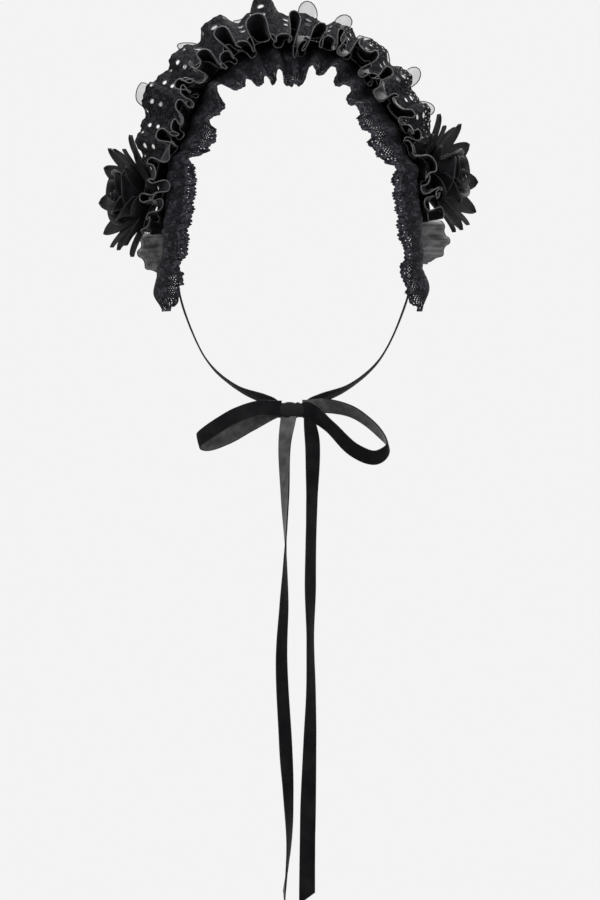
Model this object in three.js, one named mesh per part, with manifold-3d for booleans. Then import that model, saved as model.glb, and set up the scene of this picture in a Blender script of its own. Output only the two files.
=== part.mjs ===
// Ruffled headdress: a cloth band over the crown with lace and frills along both edges, a cloth
// flower over each ear and velvet ribbons tied in a bow under the chin.
// Millimetres, +Z up. The face looks along -Y and the origin is where the band sits on the crown.
import * as THREE from "three";
import Module from "manifold-3d";

const wasm = await Module();
wasm.setup();

// The head that the band is cut for, and how it is worn
const headHalfWidth = 75;
const crownHeight = 105; // from the widest level of the head up to the band
const headRoundness = 2.2; // exponent of the head's outline, 2 is an ellipse
const headHalfDepth = 96;
const headBehind = 12; // the head's widest section lies this far behind the band's middle
const headFallRadius = 88; // mean radius with which the head falls away to front and back
const wornTilt = THREE.MathUtils.degToRad(2.3); // the left side sits a little lower

// Cloth
const clothWall = 1;
const seamGap = 0.35; // between pieces that are sewn or tied to each other
const bandHalfLength = 172;
const bandWidth = 41;
const bandWall = 2;
const bandEndTaper = 22; // length over which each end of the band narrows
const bandEndShare = 0.55; // width left at the very end
const bandColumns = 20;
const bandRows = 3;
const columnsPerFold = 5; // in the lace and the satin frill

// Lace along the face, a strip that hangs past both ends of the band
const laceHalfLength = 224;
const laceWidth = 52;
const laceSeat = 19.5; // how far in front of the band's middle it is sewn on
const laceStart = 16; // degrees below level at its seam
const laceRows = [0, 0.14, 0.4, 0.72, 1];
const lacePuffPeak = 1 / 3; // where it bulges most, as a share of the way from its seam
const laceCurl = 1.2;
const scallopDepth = 2.4; // two scallops to a fold

// Satin frill with a rolled hem, on top of the lace
const frillHalfLength = 166;
const frillWidth = 40; // beyond the lace's seam
const frillSeat = 11;
const frillSeamShare = 0.2; // the first rows, which lie on the band behind the lace's seam
const frillRows = [0, frillSeamShare, 0.6, 1];
const frillLift = 2.3; // over the lace at its seam
const frillStart = 6; // degrees below level at the lace's seam
const frillCurl = 2.2;
const frillClearance = 4; // degrees between the lace's crests and the frill's troughs

// Eyelet lace that stands up behind
const eyeletHalfLength = 150;
const eyeletWidth = 31;
const eyeletSeat = -8;
const eyeletPitch = 12;
const eyeletSize = 3;
const eyeletRowHeights = [17.4, 23.4];
const eyeletCurl = 0.8;

// Sheer frill behind the eyelet lace
const sheerHalfLength = 190;
const sheerWidth = 35;
const sheerSeat = -18;
const sheerRows = [0, 0.5, 1];
const sheerCurl = 1.6;
const sheerClearance = 5; // degrees behind the eyelet lace
const sheerFreeAfter = 14; // length past the eyelet lace's end over which it comes forward
const sheerColumnsPerFold = 5;

// Flowers over the ears
const flowerTurn = THREE.MathUtils.degToRad(20); // towards the face
const calyxRadius = 5;
const calyxFlare = 7.5;
const leafCount = 9;
const leafHub = 2.5;
const leafReach = 40;
const leafRise = 24;
const leafHalfWidth = 7.4;
const roseRadius = 16.5;
const roseHeight = 28;
const roseHalfWidth = 8.25; // of one petal
const roseHub = 2;
const leafShape = {
  rows: [{ out: 0, up: 0 }, { out: 0.45, up: 0 }, { out: 1, up: 0 }],
  flare: 1.1,
  waist: 0.7,
  curl: 0,
  cup: 2.4,
};
const roseShape = {
  rows: [{ out: 0, up: 0 }, { out: 0.6, up: 0 }, { out: 0.94, up: 0.4 }, { out: 1, up: 1 }],
  flare: 1.3,
  waist: 0.5,
  curl: 0.45,
  cup: -1.5,
};
// The bud's outline from its foot to its top, as shares of the rose's radius and height
const budProfile = [
  [0, 0.385],
  [0.1, 0.405],
  [0.2, 0.58],
  [0.27, 0.86],
  [0.27, 1.12],
  [0.17, 1.28],
  [0.07, 1.22],
  [0, 1.2],
];

// Ribbon, bow and tails
const ribbonWidth = 10;
const knotLong = 17;
const knotDeep = 9;
const knotTall = 11.5;
const knotRound = 2.6;
const knotBevel = 1.4;
const knotCentre = new THREE.Vector3(3.6, -82, -246.6);
const ribbonOverlap = 14; // length that is sewn on to the band's end
const strapRise = 0.3; // the straps meet the knot this share of its height above its middle
const strapDrop = 0.25; // less this share of their own width
const loopReach = 52;
const loopStraight = 0.07; // share of the reach that runs straight out of the knot
const tailLength = 302;
const tailCut = 5; // how much longer one edge of a tail's slanting end is
const tailGap = 0.75; // under the knot
const strapSteps = 22;
const loopSteps = 24;
const tailSteps = 26;

const table = (columns, rows) =>
  rows.map((row) => Object.fromEntries(columns.map((name, i) => [name, row[i]])));

// One row for each fold of a strip. at is its place as a share of the strip's half length, angles
// are in degrees, and reach and stand are shares of the strip's width.
const laceFolds = table(["at", "dip", "swing", "reach", "stand", "puff"], [
  [-0.97, 62, 2, 0.14, 0.3, 0],
  [-0.915, 50, 5, 0.5, 0.4, 10],
  [-0.85, 34, 6, 0.62, 0.34, 25],
  [-0.76, 14, 5, 0.76, 0.1, 42],
  [-0.66, 13, 4, 0.8, 0, 46],
  [-0.575, 15, 5, 0.88, 0, 38],
  [-0.5, 22, 6, 1.0, 0, 25],
  [-0.41, 22, 6, 0.96, 0, 12],
  [-0.3, 17, 7, 1.0, 0, 8],
  [-0.21, 30, 7, 0.97, 0, 6],
  [-0.12, 36, 7, 1.0, 0, 6],
  [-0.04, 34, 7, 0.95, 0, 6],
  [0.03, 44, 7, 1.04, 0, 6],
  [0.11, 31, 7, 0.92, 0, 6],
  [0.2, 24, 7, 0.94, 0, 6],
  [0.29, 25, 6, 1.0, 0, 8],
  [0.38, 26, 6, 1.0, 0, 12],
  [0.48, 25, 6, 1.0, 0, 25],
  [0.56, 17, 5, 0.9, 0, 32],
  [0.64, 13, 4, 0.82, 0, 38],
  [0.74, 14, 4, 0.8, 0.04, 38],
  [0.84, 20, 6, 0.66, 0.14, 30],
  [0.93, 46, 5, 0.48, 0.26, 12],
  [1.0, 62, 2, 0.08, 0.16, 0],
]);
const frillFolds = table(["at", "swing", "reach"], [
  [-1.0, 6, 0.5],
  [-0.88, 10, 0.66],
  [-0.77, 16, 0.82],
  [-0.66, 18, 1.0],
  [-0.55, 16, 0.95],
  [-0.44, 19, 1.0],
  [-0.33, 18, 1.0],
  [-0.22, 21, 0.92],
  [-0.11, 19, 1.0],
  [0.0, 23, 0.94],
  [0.1, 18, 1.0],
  [0.21, 15, 1.02],
  [0.32, 15, 1.0],
  [0.44, 16, 0.96],
  [0.56, 14, 1.0],
  [0.68, 11, 0.86],
  [0.79, 6, 0.7],
  [0.9, 7, 0.56],
  [1.0, 6, 0.45],
]);
const eyeletFolds = table(["at", "lean", "swing", "reach"], [
  [-1.0, 64, 3, 0.7],
  [-0.86, 42, 6, 0.92],
  [-0.7, 24, 8, 1.0],
  [-0.54, 12, 8, 1.08],
  [-0.38, 24, 9, 0.98],
  [-0.24, 26, 13, 0.98],
  [-0.07, 30, 20, 0.98],
  [0.07, 32, 9, 0.62],
  [0.2, 34, 8, 0.64],
  [0.34, 32, 9, 0.7],
  [0.48, 30, 10, 0.76],
  [0.63, 28, 10, 0.8],
  [0.76, 30, 8, 0.9],
  [0.88, 42, 6, 0.9],
  [1.0, 64, 3, 0.7],
]);
const sheerFolds = table(["at", "lean", "swing", "reach"], [
  [-1.0, 30, 3, 0.42],
  [-0.97, 20, 4, 0.72],
  [-0.92, 15, 5, 0.84],
  [-0.86, 18, 5, 0.8],
  [-0.79, 36, 8, 0.7],
  [-0.7, 50, 6, 0.7],
  [-0.56, 30, 14, 0.9],
  [-0.42, 20, 17, 1.06],
  [-0.25, 20, 17, 1.02],
  [-0.15, 20, 15, 1.04],
  [-0.04, 20, 14, 0.8],
  [0.06, 20, 16, 0.96],
  [0.155, 20, 14, 0.9],
  [0.22, 20, 12, 0.86],
  [0.3, 20, 12, 0.78],
  [0.38, 20, 17, 1.02],
  [0.475, 20, 15, 0.92],
  [0.59, 30, 13, 0.85],
  [0.71, 50, 6, 0.7],
  [0.79, 36, 8, 0.68],
  [0.86, 18, 5, 0.7],
  [0.92, 15, 5, 0.78],
  [0.965, 20, 4, 0.66],
  [1.0, 30, 3, 0.34],
]);

// The ribbon's way from the band's end (0) to the knot (1). out, front and down say where the
// velvet face looks.
const strapRoute = table(["across", "forward", "drop", "out", "front", "down"], [
  [0, 0, 0, 1, 0, 0],
  [0.02, 0.127, 0.27, 1, 0, 0.05],
  [0.084, 0.229, 0.42, 0.97, 0, 0.2],
  [0.25, 0.446, 0.657, 0.85, 0.05, 0.5],
  [0.395, 0.61, 0.78, 0.7, 0.1, 0.7],
  [0.625, 0.79, 0.89, 0.45, 0.3, 0.85],
  [0.865, 0.917, 0.953, 0.15, 0.7, 0.7],
  [0.95, 1, 1, 0, 1, 0.15],
  [1, 1, 1, 0, 1, 0.15],
]);

// The bow's loops as shares of their reach from the knot's centre, out along the first and back
// along the last rows, and where the velvet face looks.
const leftLoop = table(["out", "front", "up", "faceOut", "faceFront", "faceUp"], [
  [0.17, 0.04, 0.02, 0, 1, 0.1],
  [0.4, 0.12, 0.02, 0, 1, 0.35],
  [0.7, 0.17, -0.08, 0.05, 1, 0.4],
  [1.0, 0.13, -0.26, 0.35, 1, 0.3],
  [1.14, 0.03, -0.38, 1, 0.1, -0.2],
  [1.04, -0.05, -0.41, 0.4, -1, -0.5],
  [0.8, -0.07, -0.33, 0, -1, -0.5],
  [0.5, -0.05, -0.16, 0, -1, -0.3],
  [0.17, -0.01, 0, 0, -1, 0],
]);
const rightLoop = table(["out", "front", "up", "faceOut", "faceFront", "faceUp"], [
  [0.17, -0.01, 0.03, 0, -1, 0.1],
  [0.42, -0.06, 0.05, 0.1, -0.9, 0.5],
  [0.75, -0.06, -0.03, 0.4, -0.7, 0.7],
  [1.05, 0, -0.26, 0.9, -0.4, 0.4],
  [1.17, 0.08, -0.46, 1, 0.3, -0.2],
  [1.02, 0.14, -0.58, 0.2, 0.9, -0.5],
  [0.76, 0.13, -0.49, -0.3, 0.9, -0.5],
  [0.46, 0.1, -0.2, -0.4, 0.8, -0.6],
  [0.17, 0.04, 0, 0, 1, -0.1],
]);

// The tails: down is a share of their length, aside and forward are shares of the ribbon's width,
// and turn is 0 degrees where the velvet faces forward.
const leftTail = table(["down", "aside", "forward", "turn"], [
  [0, -0.2, 0.2, 168],
  [0.05, -0.46, 0.45, 140],
  [0.16, -0.44, 0.75, 118],
  [0.27, -0.42, 0.85, 88],
  [0.38, -0.5, 0.9, 62],
  [0.5, -0.66, 0.95, 48],
  [0.68, -0.4, 1.0, 40],
  [0.78, -0.24, 1.05, 52],
  [0.88, -0.18, 1.05, 74],
  [1, -0.5, 1.1, 98],
]);
const rightTail = table(["down", "aside", "forward", "turn"], [
  [0.004, 1.08, 0.36, 52],
  [0.05, 1.3, 0.55, 26],
  [0.16, 1.26, 0.75, 46],
  [0.25, 1.2, 0.85, 52],
  [0.34, 1.16, 0.9, 50],
  [0.46, 1.16, 0.95, 66],
  [0.58, 1.2, 1.0, 56],
  [0.7, 1.1, 1.05, 34],
  [0.84, 1.0, 1.1, 14],
  [1, 0.95, 1.1, 2],
]);

// One row for each flower. It stands beforeEnd short of the eyelet lace's end, and lift goes from
// the head to its underside.
const flowerPlaces = table(["side", "sign", "beforeEnd", "lift"], [
  ["left", -1, 10, 15],
  ["right", 1, 15, 9],
]);

// One row for each ring of petals. first is in degrees and base above the flower's underside. The
// other columns are shares of the leaves' or the rose's own sizes.
const petalRings = table(
  ["name", "kind", "count", "first", "base", "reach", "shoulder", "valley", "rise", "halfWidth"],
  [
    ["outer_leaves", "leaf", leafCount, 10, 0, 1, 0.58, 0.4, 1, 1],
    ["inner_leaves", "leaf", leafCount, 30, 1, 0.88, 0.5, 0.34, 1.2, 1],
    ["rose_outer", "rose", 5, 17, 5.5, 1, 0.82, 0.8, 1, 1],
    ["rose_inner", "rose", 4, 52, 8.5, 0.66, 0.56, 0.5, 0.92, 0.72],
  ],
);

const satinBlack = { color: 0x0b0b0d, roughness: 0.45, metalness: 0 };
const clothBlack = { color: 0x0a0a0c, roughness: 0.85, metalness: 0 };
const laceBlack = { color: 0x101014, roughness: 0.9, metalness: 0 };
const sheerGrey = { color: 0x2a2a30, roughness: 0.5, metalness: 0 };
const velvetBlack = { color: 0x050506, roughness: 1, metalness: 0 };

// The head's outline over the crown as points, with their length along it measured from the crown.
const headLine = (() => {
  const steps = 360;
  const below = laceHalfLength; // straight sides, longer than any strip
  const points = [new THREE.Vector2(-headHalfWidth, -crownHeight - below)];
  for (let i = 0; i <= steps; i++) {
    const turn = (Math.PI * i) / steps;
    const across = Math.cos(turn);
    points.push(
      new THREE.Vector2(
        -headHalfWidth * Math.sign(across) * Math.abs(across) ** (2 / headRoundness),
        -crownHeight * (1 - Math.abs(Math.sin(turn)) ** (2 / headRoundness)),
      ),
    );
  }
  points.push(new THREE.Vector2(headHalfWidth, -crownHeight - below));
  const lengths = [0];
  for (let i = 1; i < points.length; i++)
    lengths.push(lengths[i - 1] + points[i].distanceTo(points[i - 1]));
  const middle = lengths[lengths.length - 1] / 2;
  return { points, lengths: lengths.map((length) => length - middle) };
})();

function lineAt(s) {
  const { points, lengths } = headLine;
  let i = 1;
  while (i < points.length - 1 && lengths[i] < s) i++;
  const share = (s - lengths[i - 1]) / (lengths[i] - lengths[i - 1]);
  return points[i - 1].clone().lerp(points[i], share);
}

// How far the head falls away at a distance forward of the band's middle
const headDepthAt = (forward) =>
  headFallRadius *
  (1 - Math.sqrt(Math.max(0.02, 1 - ((forward + headBehind) / headHalfDepth) ** 2)));
const headFall = (forward) => headDepthAt(forward) - headDepthAt(0);

// A point at the length s along the crown, so far forward and so far out from the crown's line
function crownPoint(s, forward, out) {
  const step = 1.5;
  const here = lineAt(s);
  const along = lineAt(s + step).sub(lineAt(s - step)).normalize();
  return new THREE.Vector3(here.x - along.y * out, -forward, here.y + along.x * out).applyAxisAngle(
    new THREE.Vector3(0, 1, 0),
    -wornTilt,
  );
}

// The value of a column between two folds, and how many folds lie before a place
function foldAt(folds, at) {
  const clamped = THREE.MathUtils.clamp(at, folds[0].at, folds[folds.length - 1].at);
  let i = 1;
  while (i < folds.length - 1 && folds[i].at < clamped) i++;
  const share = (clamped - folds[i - 1].at) / (folds[i].at - folds[i - 1].at);
  const smooth = share * share * (3 - 2 * share);
  const mixed = { phase: 2 * Math.PI * (i - 1 + share) };
  for (const name of Object.keys(folds[0]))
    if (name !== "at")
      mixed[name] = folds[i - 1][name] + (folds[i][name] - folds[i - 1][name]) * smooth;
  return mixed;
}

const radians = THREE.MathUtils.degToRad;
const seamHeight = (forward) => bandWall + seamGap + clothWall / 2 - headFall(forward);

// A point of a strip that is sewn on at a seat and leaves it at an angle from straight forward
function stripPoint(s, seat, stand, length, angle) {
  return crownPoint(
    s,
    seat + length * Math.cos(angle),
    seamHeight(seat) + stand + length * Math.sin(angle),
  );
}

// The angle of a strip's line from its seam, where it lies along the band, to its free run
const easedAngle = (v, start, free) => {
  const seamShare = (1 - v) ** 3;
  return -radians(start) * seamShare + free * (1 - seamShare);
};

const laceAngles = (s) => {
  const fold = foldAt(laceFolds, s / laceHalfLength);
  return { ...fold, mean: -radians(fold.dip), wave: radians(fold.swing) };
};

// The extra angle with which the lace bulges outward at a length from its seam
function lacePuff(s, length) {
  const fold = laceAngles(s);
  const v = THREE.MathUtils.clamp(length / (laceWidth * fold.reach), 1e-6, 1);
  const peak = Math.sqrt(lacePuffPeak) * (1 - lacePuffPeak);
  return (radians(fold.puff) * Math.sqrt(v) * (1 - v)) / peak;
}

function lacePoint(s, v) {
  const fold = laceAngles(s);
  const scallop = scallopDepth * Math.abs(Math.cos(fold.phase));
  const length = (laceWidth * fold.reach - scallopDepth + scallop) * v;
  const free = easedAngle(v, laceStart, fold.mean + fold.wave * Math.cos(fold.phase));
  const angle = free + lacePuff(s, length);
  const curl = laceCurl * v * Math.sin(2 * fold.phase);
  return stripPoint(s + curl, laceSeat, laceWidth * fold.stand, length, angle);
}

function frillPoint(s, v) {
  const fold = foldAt(frillFolds, s / frillHalfLength);
  const seam = Math.min(1, v / frillSeamShare);
  const seat = frillSeat + (laceSeat - frillSeat) * seam;
  const free = Math.max(0, (v - frillSeamShare) / (1 - frillSeamShare));
  const place = s + frillCurl * free * Math.sin(2 * fold.phase);
  const lace = laceAngles(place);
  const trough = lace.mean + lace.wave + radians(frillClearance);
  const wave = radians(fold.swing) * (1 + Math.cos(fold.phase));
  const length = frillWidth * fold.reach * free;
  const angle = easedAngle(free, frillStart, trough + wave) + lacePuff(place, length);
  const stand = (frillLift + laceWidth * lace.stand) * seam;
  return stripPoint(place, seat, stand, length, angle);
}

const eyeletLean = (s) => {
  const fold = foldAt(eyeletFolds, s / eyeletHalfLength);
  return { ...fold, angle: radians(90 + fold.lean - fold.swing * Math.cos(fold.phase)) };
};

function eyeletPoint(s, v) {
  const fold = eyeletLean(s);
  const curl = eyeletCurl * v * Math.sin(2 * fold.phase);
  return stripPoint(s + curl, eyeletSeat, 0, eyeletWidth * fold.reach * v, fold.angle);
}

function sheerPoint(s, v) {
  const fold = foldAt(sheerFolds, s / sheerHalfLength);
  const place = s + sheerCurl * v * Math.sin(2 * fold.phase);
  const free = radians(90 + fold.lean);
  const behind = eyeletLean(place).angle + radians(sheerClearance);
  const pastEnd = (Math.abs(place) - eyeletHalfLength) / sheerFreeAfter;
  const covered = THREE.MathUtils.clamp(1 - pastEnd, 0, 1);
  const wave = radians(fold.swing) * (1 - Math.cos(fold.phase));
  const angle = free + Math.max(0, behind - free) * covered + wave;
  return stripPoint(place, sheerSeat, 0, sheerWidth * fold.reach * v, angle);
}

// A closed cloth of even thickness round a grid of points. us and vs are the grid's lines, isOpen
// says which cells are holes, and a ring joins its last column to its first.
function clothGeometry(us, vs, pointAt, wall = clothWall, isOpen = () => false, isRing = false) {
  const grid = us.map((u) => vs.map((v) => pointAt(u, v)));
  const clamp = (i, count) => Math.max(0, Math.min(count - 1, i));
  const column = (i) => (isRing ? (i + us.length) % us.length : clamp(i, us.length));
  const cells = isRing ? us.length : us.length - 1;
  const positions = [];
  us.forEach((_, i) =>
    vs.forEach((_, j) => {
      const along = grid[column(i + 1)][j].clone().sub(grid[column(i - 1)][j]);
      const row = grid[i];
      const across = row[clamp(j + 1, row.length)].clone().sub(row[clamp(j - 1, row.length)]);
      const half = along.cross(across).normalize().multiplyScalar(wall / 2);
      positions.push(...grid[i][j].clone().add(half), ...grid[i][j].clone().sub(half));
    }),
  );
  const id = (i, j, under) => 2 * (column(i) * vs.length + j) + under;
  const index = [];
  const quad = (a, b, c, d) => index.push(a, b, c, a, c, d);
  const within = (i, j) => (isRing || (i >= 0 && i < cells)) && j >= 0 && j < vs.length - 1;
  const solid = (i, j) => within(i, j) && !isOpen(i, j);
  for (let i = 0; i < cells; i++)
    for (let j = 0; j < vs.length - 1; j++) {
      if (!solid(i, j)) continue;
      quad(id(i, j, 0), id(i + 1, j, 0), id(i + 1, j + 1, 0), id(i, j + 1, 0));
      quad(id(i, j, 1), id(i, j + 1, 1), id(i + 1, j + 1, 1), id(i + 1, j, 1));
      const sides = [
        [i, j - 1, [i, j], [i + 1, j]],
        [i + 1, j, [i + 1, j], [i + 1, j + 1]],
        [i, j + 1, [i + 1, j + 1], [i, j + 1]],
        [i - 1, j, [i, j + 1], [i, j]],
      ];
      for (const [ni, nj, a, b] of sides)
        if (!solid(ni, nj)) quad(id(...b, 0), id(...a, 0), id(...a, 1), id(...b, 1));
    }
  const geometry = new THREE.BufferGeometry();
  geometry.setAttribute("position", new THREE.Float32BufferAttribute(positions, 3));
  geometry.setIndex(index);
  return geometry;
}

const evenly = (from, to, steps) =>
  Array.from({ length: steps + 1 }, (_, i) => from + ((to - from) * i) / steps);

function geometryOf(solid) {
  const mesh = solid.getMesh();
  const geometry = new THREE.BufferGeometry();
  geometry.setAttribute("position", new THREE.BufferAttribute(mesh.vertProperties, 3));
  geometry.setIndex(new THREE.BufferAttribute(mesh.triVerts, 1));
  return geometry;
}

function piece(name, geometry, look) {
  geometry.computeVertexNormals();
  const mesh = new THREE.Mesh(geometry, new THREE.MeshStandardMaterial(look));
  mesh.name = name;
  return mesh;
}

function bandPiece() {
  const pointAt = (s, v) => {
    const left = Math.min(1, (bandHalfLength - Math.abs(s)) / bandEndTaper);
    const half = (bandWidth / 2) * (bandEndShare + (1 - bandEndShare) * Math.sin((Math.PI / 2) * left));
    const forward = -half * v;
    return crownPoint(s, forward, bandWall / 2 - headFall(forward));
  };
  const us = evenly(-bandHalfLength, bandHalfLength, bandColumns);
  return piece("band", clothGeometry(us, evenly(-1, 1, bandRows), pointAt, bandWall), clothBlack);
}

// A gathered strip with the same number of columns in each of its folds
function stripPiece(name, folds, halfLength, perFold, rows, pointAt, look) {
  const shares = folds.slice(1).flatMap((fold, i) => evenly(folds[i].at, fold.at, perFold).slice(1));
  const us = [folds[0].at, ...shares].map((share) => share * halfLength);
  return piece(name, clothGeometry(us, rows, pointAt), look);
}

const frontLace = () =>
  stripPiece("front_lace", laceFolds, laceHalfLength, columnsPerFold, laceRows, lacePoint, laceBlack);
const satinFrill = () =>
  stripPiece(
    "satin_frill",
    frillFolds,
    frillHalfLength,
    columnsPerFold,
    frillRows,
    frillPoint,
    satinBlack,
  );
const sheerFrill = () =>
  stripPiece(
    "sheer_frill",
    sheerFolds,
    sheerHalfLength,
    sheerColumnsPerFold,
    sheerRows,
    sheerPoint,
    sheerGrey,
  );

function eyeletPiece() {
  const pitches = Math.round((2 * eyeletHalfLength) / eyeletPitch);
  const step = (2 * eyeletHalfLength) / pitches;
  const web = (step - eyeletSize) / 2;
  const us = [];
  for (let i = 0; i < pitches; i++)
    us.push(...[0, web, web + eyeletSize].map((d) => -eyeletHalfLength + i * step + d));
  us.push(eyeletHalfLength);
  const vs = [0, ...eyeletRowHeights.flatMap((h) => [h, h + eyeletSize]), eyeletWidth];
  const isOpen = (i, j) => i % 3 === 1 && j % 2 === 1;
  const shares = vs.map((v) => v / eyeletWidth);
  return piece("eyelet_lace", clothGeometry(us, shares, eyeletPoint, clothWall, isOpen), laceBlack);
}

// Petals as one cloth round an axis along +Z. The outline of each petal runs through its valley, one
// side, its tip and the other side, and rows lead out to it from the hub.
function whorl(name, petal) {
  const outline = [
    { radius: petal.valley, side: 0, turn: -0.5 },
    { radius: petal.shoulder, side: -1, turn: 0 },
    { radius: petal.reach, side: 0, turn: 0 },
    { radius: petal.shoulder, side: 1, turn: 0 },
  ];
  const columns = petal.count * outline.length;
  const pointAt = (u, v) => {
    const corner = outline[u % outline.length];
    const petals = Math.floor(u / outline.length) + corner.turn;
    const share = petal.rows[v];
    const radius = petal.hub + (corner.radius - petal.hub) * share.out;
    const side = corner.side * petal.halfWidth * share.out ** petal.waist;
    const bowl = (radius / petal.reach) ** petal.flare;
    const rise = petal.rise * ((1 - petal.curl) * bowl + petal.curl * share.up);
    const edge = corner.side === 0 ? 0 : petal.cup * share.out;
    return new THREE.Vector3(radius, side, petal.base + rise + edge).applyAxisAngle(
      new THREE.Vector3(0, 0, 1),
      radians(petal.first) + (2 * Math.PI * petals) / petal.count,
    );
  };
  const us = Array.from({ length: columns }, (_, i) => i);
  const vs = petal.rows.map((_, i) => i);
  return piece(name, clothGeometry(us, vs, pointAt, clothWall, () => false, true), petal.look);
}

const petalKinds = {
  leaf: {
    ...leafShape,
    hub: leafHub,
    reach: leafReach,
    rise: leafRise,
    halfWidth: leafHalfWidth,
    look: clothBlack,
  },
  rose: {
    ...roseShape,
    hub: roseHub,
    reach: roseRadius,
    rise: roseHeight,
    halfWidth: roseHalfWidth,
    look: satinBlack,
  },
};

function flower({ side, sign, beforeEnd, lift }) {
  const blossom = new THREE.Group();
  const at = sign * (eyeletHalfLength - beforeEnd);
  const foot = crownPoint(at, 0, 0);
  const seat = crownPoint(at, 0, lift);
  const outward = seat.clone().sub(foot).normalize();
  const axis = outward
    .clone()
    .multiplyScalar(Math.cos(flowerTurn))
    .addScaledVector(new THREE.Vector3(0, -1, 0), Math.sin(flowerTurn));
  blossom.position.copy(seat);
  blossom.quaternion.setFromUnitVectors(new THREE.Vector3(0, 0, 1), axis);
  for (const ring of petalRings) {
    const kind = petalKinds[ring.kind];
    const petal = {
      ...kind,
      ...ring,
      reach: ring.reach * kind.reach,
      shoulder: ring.shoulder * kind.reach,
      valley: ring.valley * kind.reach,
      rise: ring.rise * kind.rise,
      halfWidth: ring.halfWidth * kind.halfWidth,
    };
    blossom.add(whorl(`${ring.name}_${side}`, petal));
  }
  const bud = new THREE.LatheGeometry(
    budProfile.map(([radius, height]) => new THREE.Vector2(radius * roseRadius, height * roseHeight)),
    8,
  ).rotateX(Math.PI / 2);
  blossom.add(piece(`rose_bud_${side}`, bud, satinBlack));
  const whole = new THREE.Group();
  whole.add(blossom, calyx(side, foot, outward, seat, axis));
  return whole;
}

// The felt pad that carries the leaves, from the band's face to the tilted hub
function calyx(side, foot, outward, seat, axis) {
  const ring = (centre, normal, radius) => {
    const facing = new THREE.Quaternion().setFromUnitVectors(new THREE.Vector3(0, 0, 1), normal);
    return Array.from({ length: 16 }, (_, i) => {
      const turn = (Math.PI * i) / 8;
      const out = new THREE.Vector3(radius * Math.cos(turn), radius * Math.sin(turn), 0);
      return out.applyQuaternion(facing).add(centre).toArray();
    });
  };
  const low = foot.clone().addScaledVector(outward, bandWall + seamGap - headFall(-calyxFlare));
  const hubRise = leafRise * (leafHub / leafReach) ** leafShape.flare;
  const high = seat.clone().addScaledVector(axis, hubRise - clothWall / 2 - seamGap);
  const hull = wasm.Manifold.hull([...ring(low, outward, calyxFlare), ...ring(high, axis, calyxRadius)]);
  return piece(`calyx_${side}`, geometryOf(hull), clothBlack);
}

// A flat ribbon along a smooth line through its stations, each with the way its velvet face looks
function ribbonPiece(name, stations, segments, endCut = 0) {
  const line = new THREE.CatmullRomCurve3(stations.map((station) => station.point), false, "centripetal");
  const last = stations.length - 1;
  const pointAt = (u, v) => {
    const place = Math.min(last - 1e-6, u * last);
    const i = Math.floor(place);
    const face = stations[i].face.clone().lerp(stations[i + 1].face, place - i);
    const along = line.getTangent(u);
    const across = along.clone().cross(face).normalize();
    const cut = u === 1 ? endCut * (v - 0.5) : 0;
    return line.getPoint(u).addScaledVector(across, ribbonWidth * (v - 0.5)).addScaledVector(along, cut);
  };
  return piece(name, clothGeometry(evenly(0, 1, segments), [0, 1], pointAt), velvetBlack);
}

function strap(side, sign) {
  const out = bandWall + seamGap + clothWall / 2 - headFall(-ribbonWidth / 2);
  const start = crownPoint(sign * bandHalfLength, 0, out);
  const aside = sign * (knotLong / 2 + seamGap);
  const level = strapRise * knotTall - strapDrop * ribbonWidth;
  const end = new THREE.Vector3(aside, knotDeep / 2 - clothWall, level).add(knotCentre);
  const stations = strapRoute.map((row) => ({
    point: new THREE.Vector3(
      THREE.MathUtils.lerp(start.x, end.x, row.across),
      THREE.MathUtils.lerp(start.y, end.y, row.forward),
      THREE.MathUtils.lerp(start.z, end.z, row.drop),
    ),
    face: new THREE.Vector3(sign * row.out, -row.front, -row.down),
  }));
  const sewn = crownPoint(sign * (bandHalfLength - ribbonOverlap), 0, out);
  stations.unshift({ point: sewn, face: new THREE.Vector3(sign, 0, 0) });
  return ribbonPiece(`ribbon_${side}`, stations, strapSteps);
}

function bowLoop(side, sign, rows) {
  const nearest = (knotLong / 2 + seamGap) / loopReach;
  const first = { ...rows[0], out: nearest + loopStraight };
  const last = { ...rows[rows.length - 1], out: nearest + loopStraight };
  const run = [{ ...first, out: nearest }, first, ...rows.slice(1, -1), last, { ...last, out: nearest }];
  const stations = run.map((row) => ({
    point: new THREE.Vector3(sign * row.out, -row.front, row.up).multiplyScalar(loopReach).add(knotCentre),
    face: new THREE.Vector3(sign * row.faceOut, -row.faceFront, row.faceUp),
  }));
  return ribbonPiece(`bow_loop_${side}`, stations, loopSteps);
}

function tail(side, rows) {
  const top = knotCentre.clone().add(new THREE.Vector3(0, 0, -knotTall / 2 - tailGap));
  const stations = rows.map((row) => {
    const turn = radians(row.turn);
    return {
      point: new THREE.Vector3(row.aside, -row.forward, 0)
        .multiplyScalar(ribbonWidth)
        .add(new THREE.Vector3(0, 0, -row.down * tailLength))
        .add(top),
      face: new THREE.Vector3(Math.sin(turn), -Math.cos(turn), 0),
    };
  });
  return ribbonPiece(`tail_${side}`, stations, tailSteps, tailCut);
}

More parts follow.
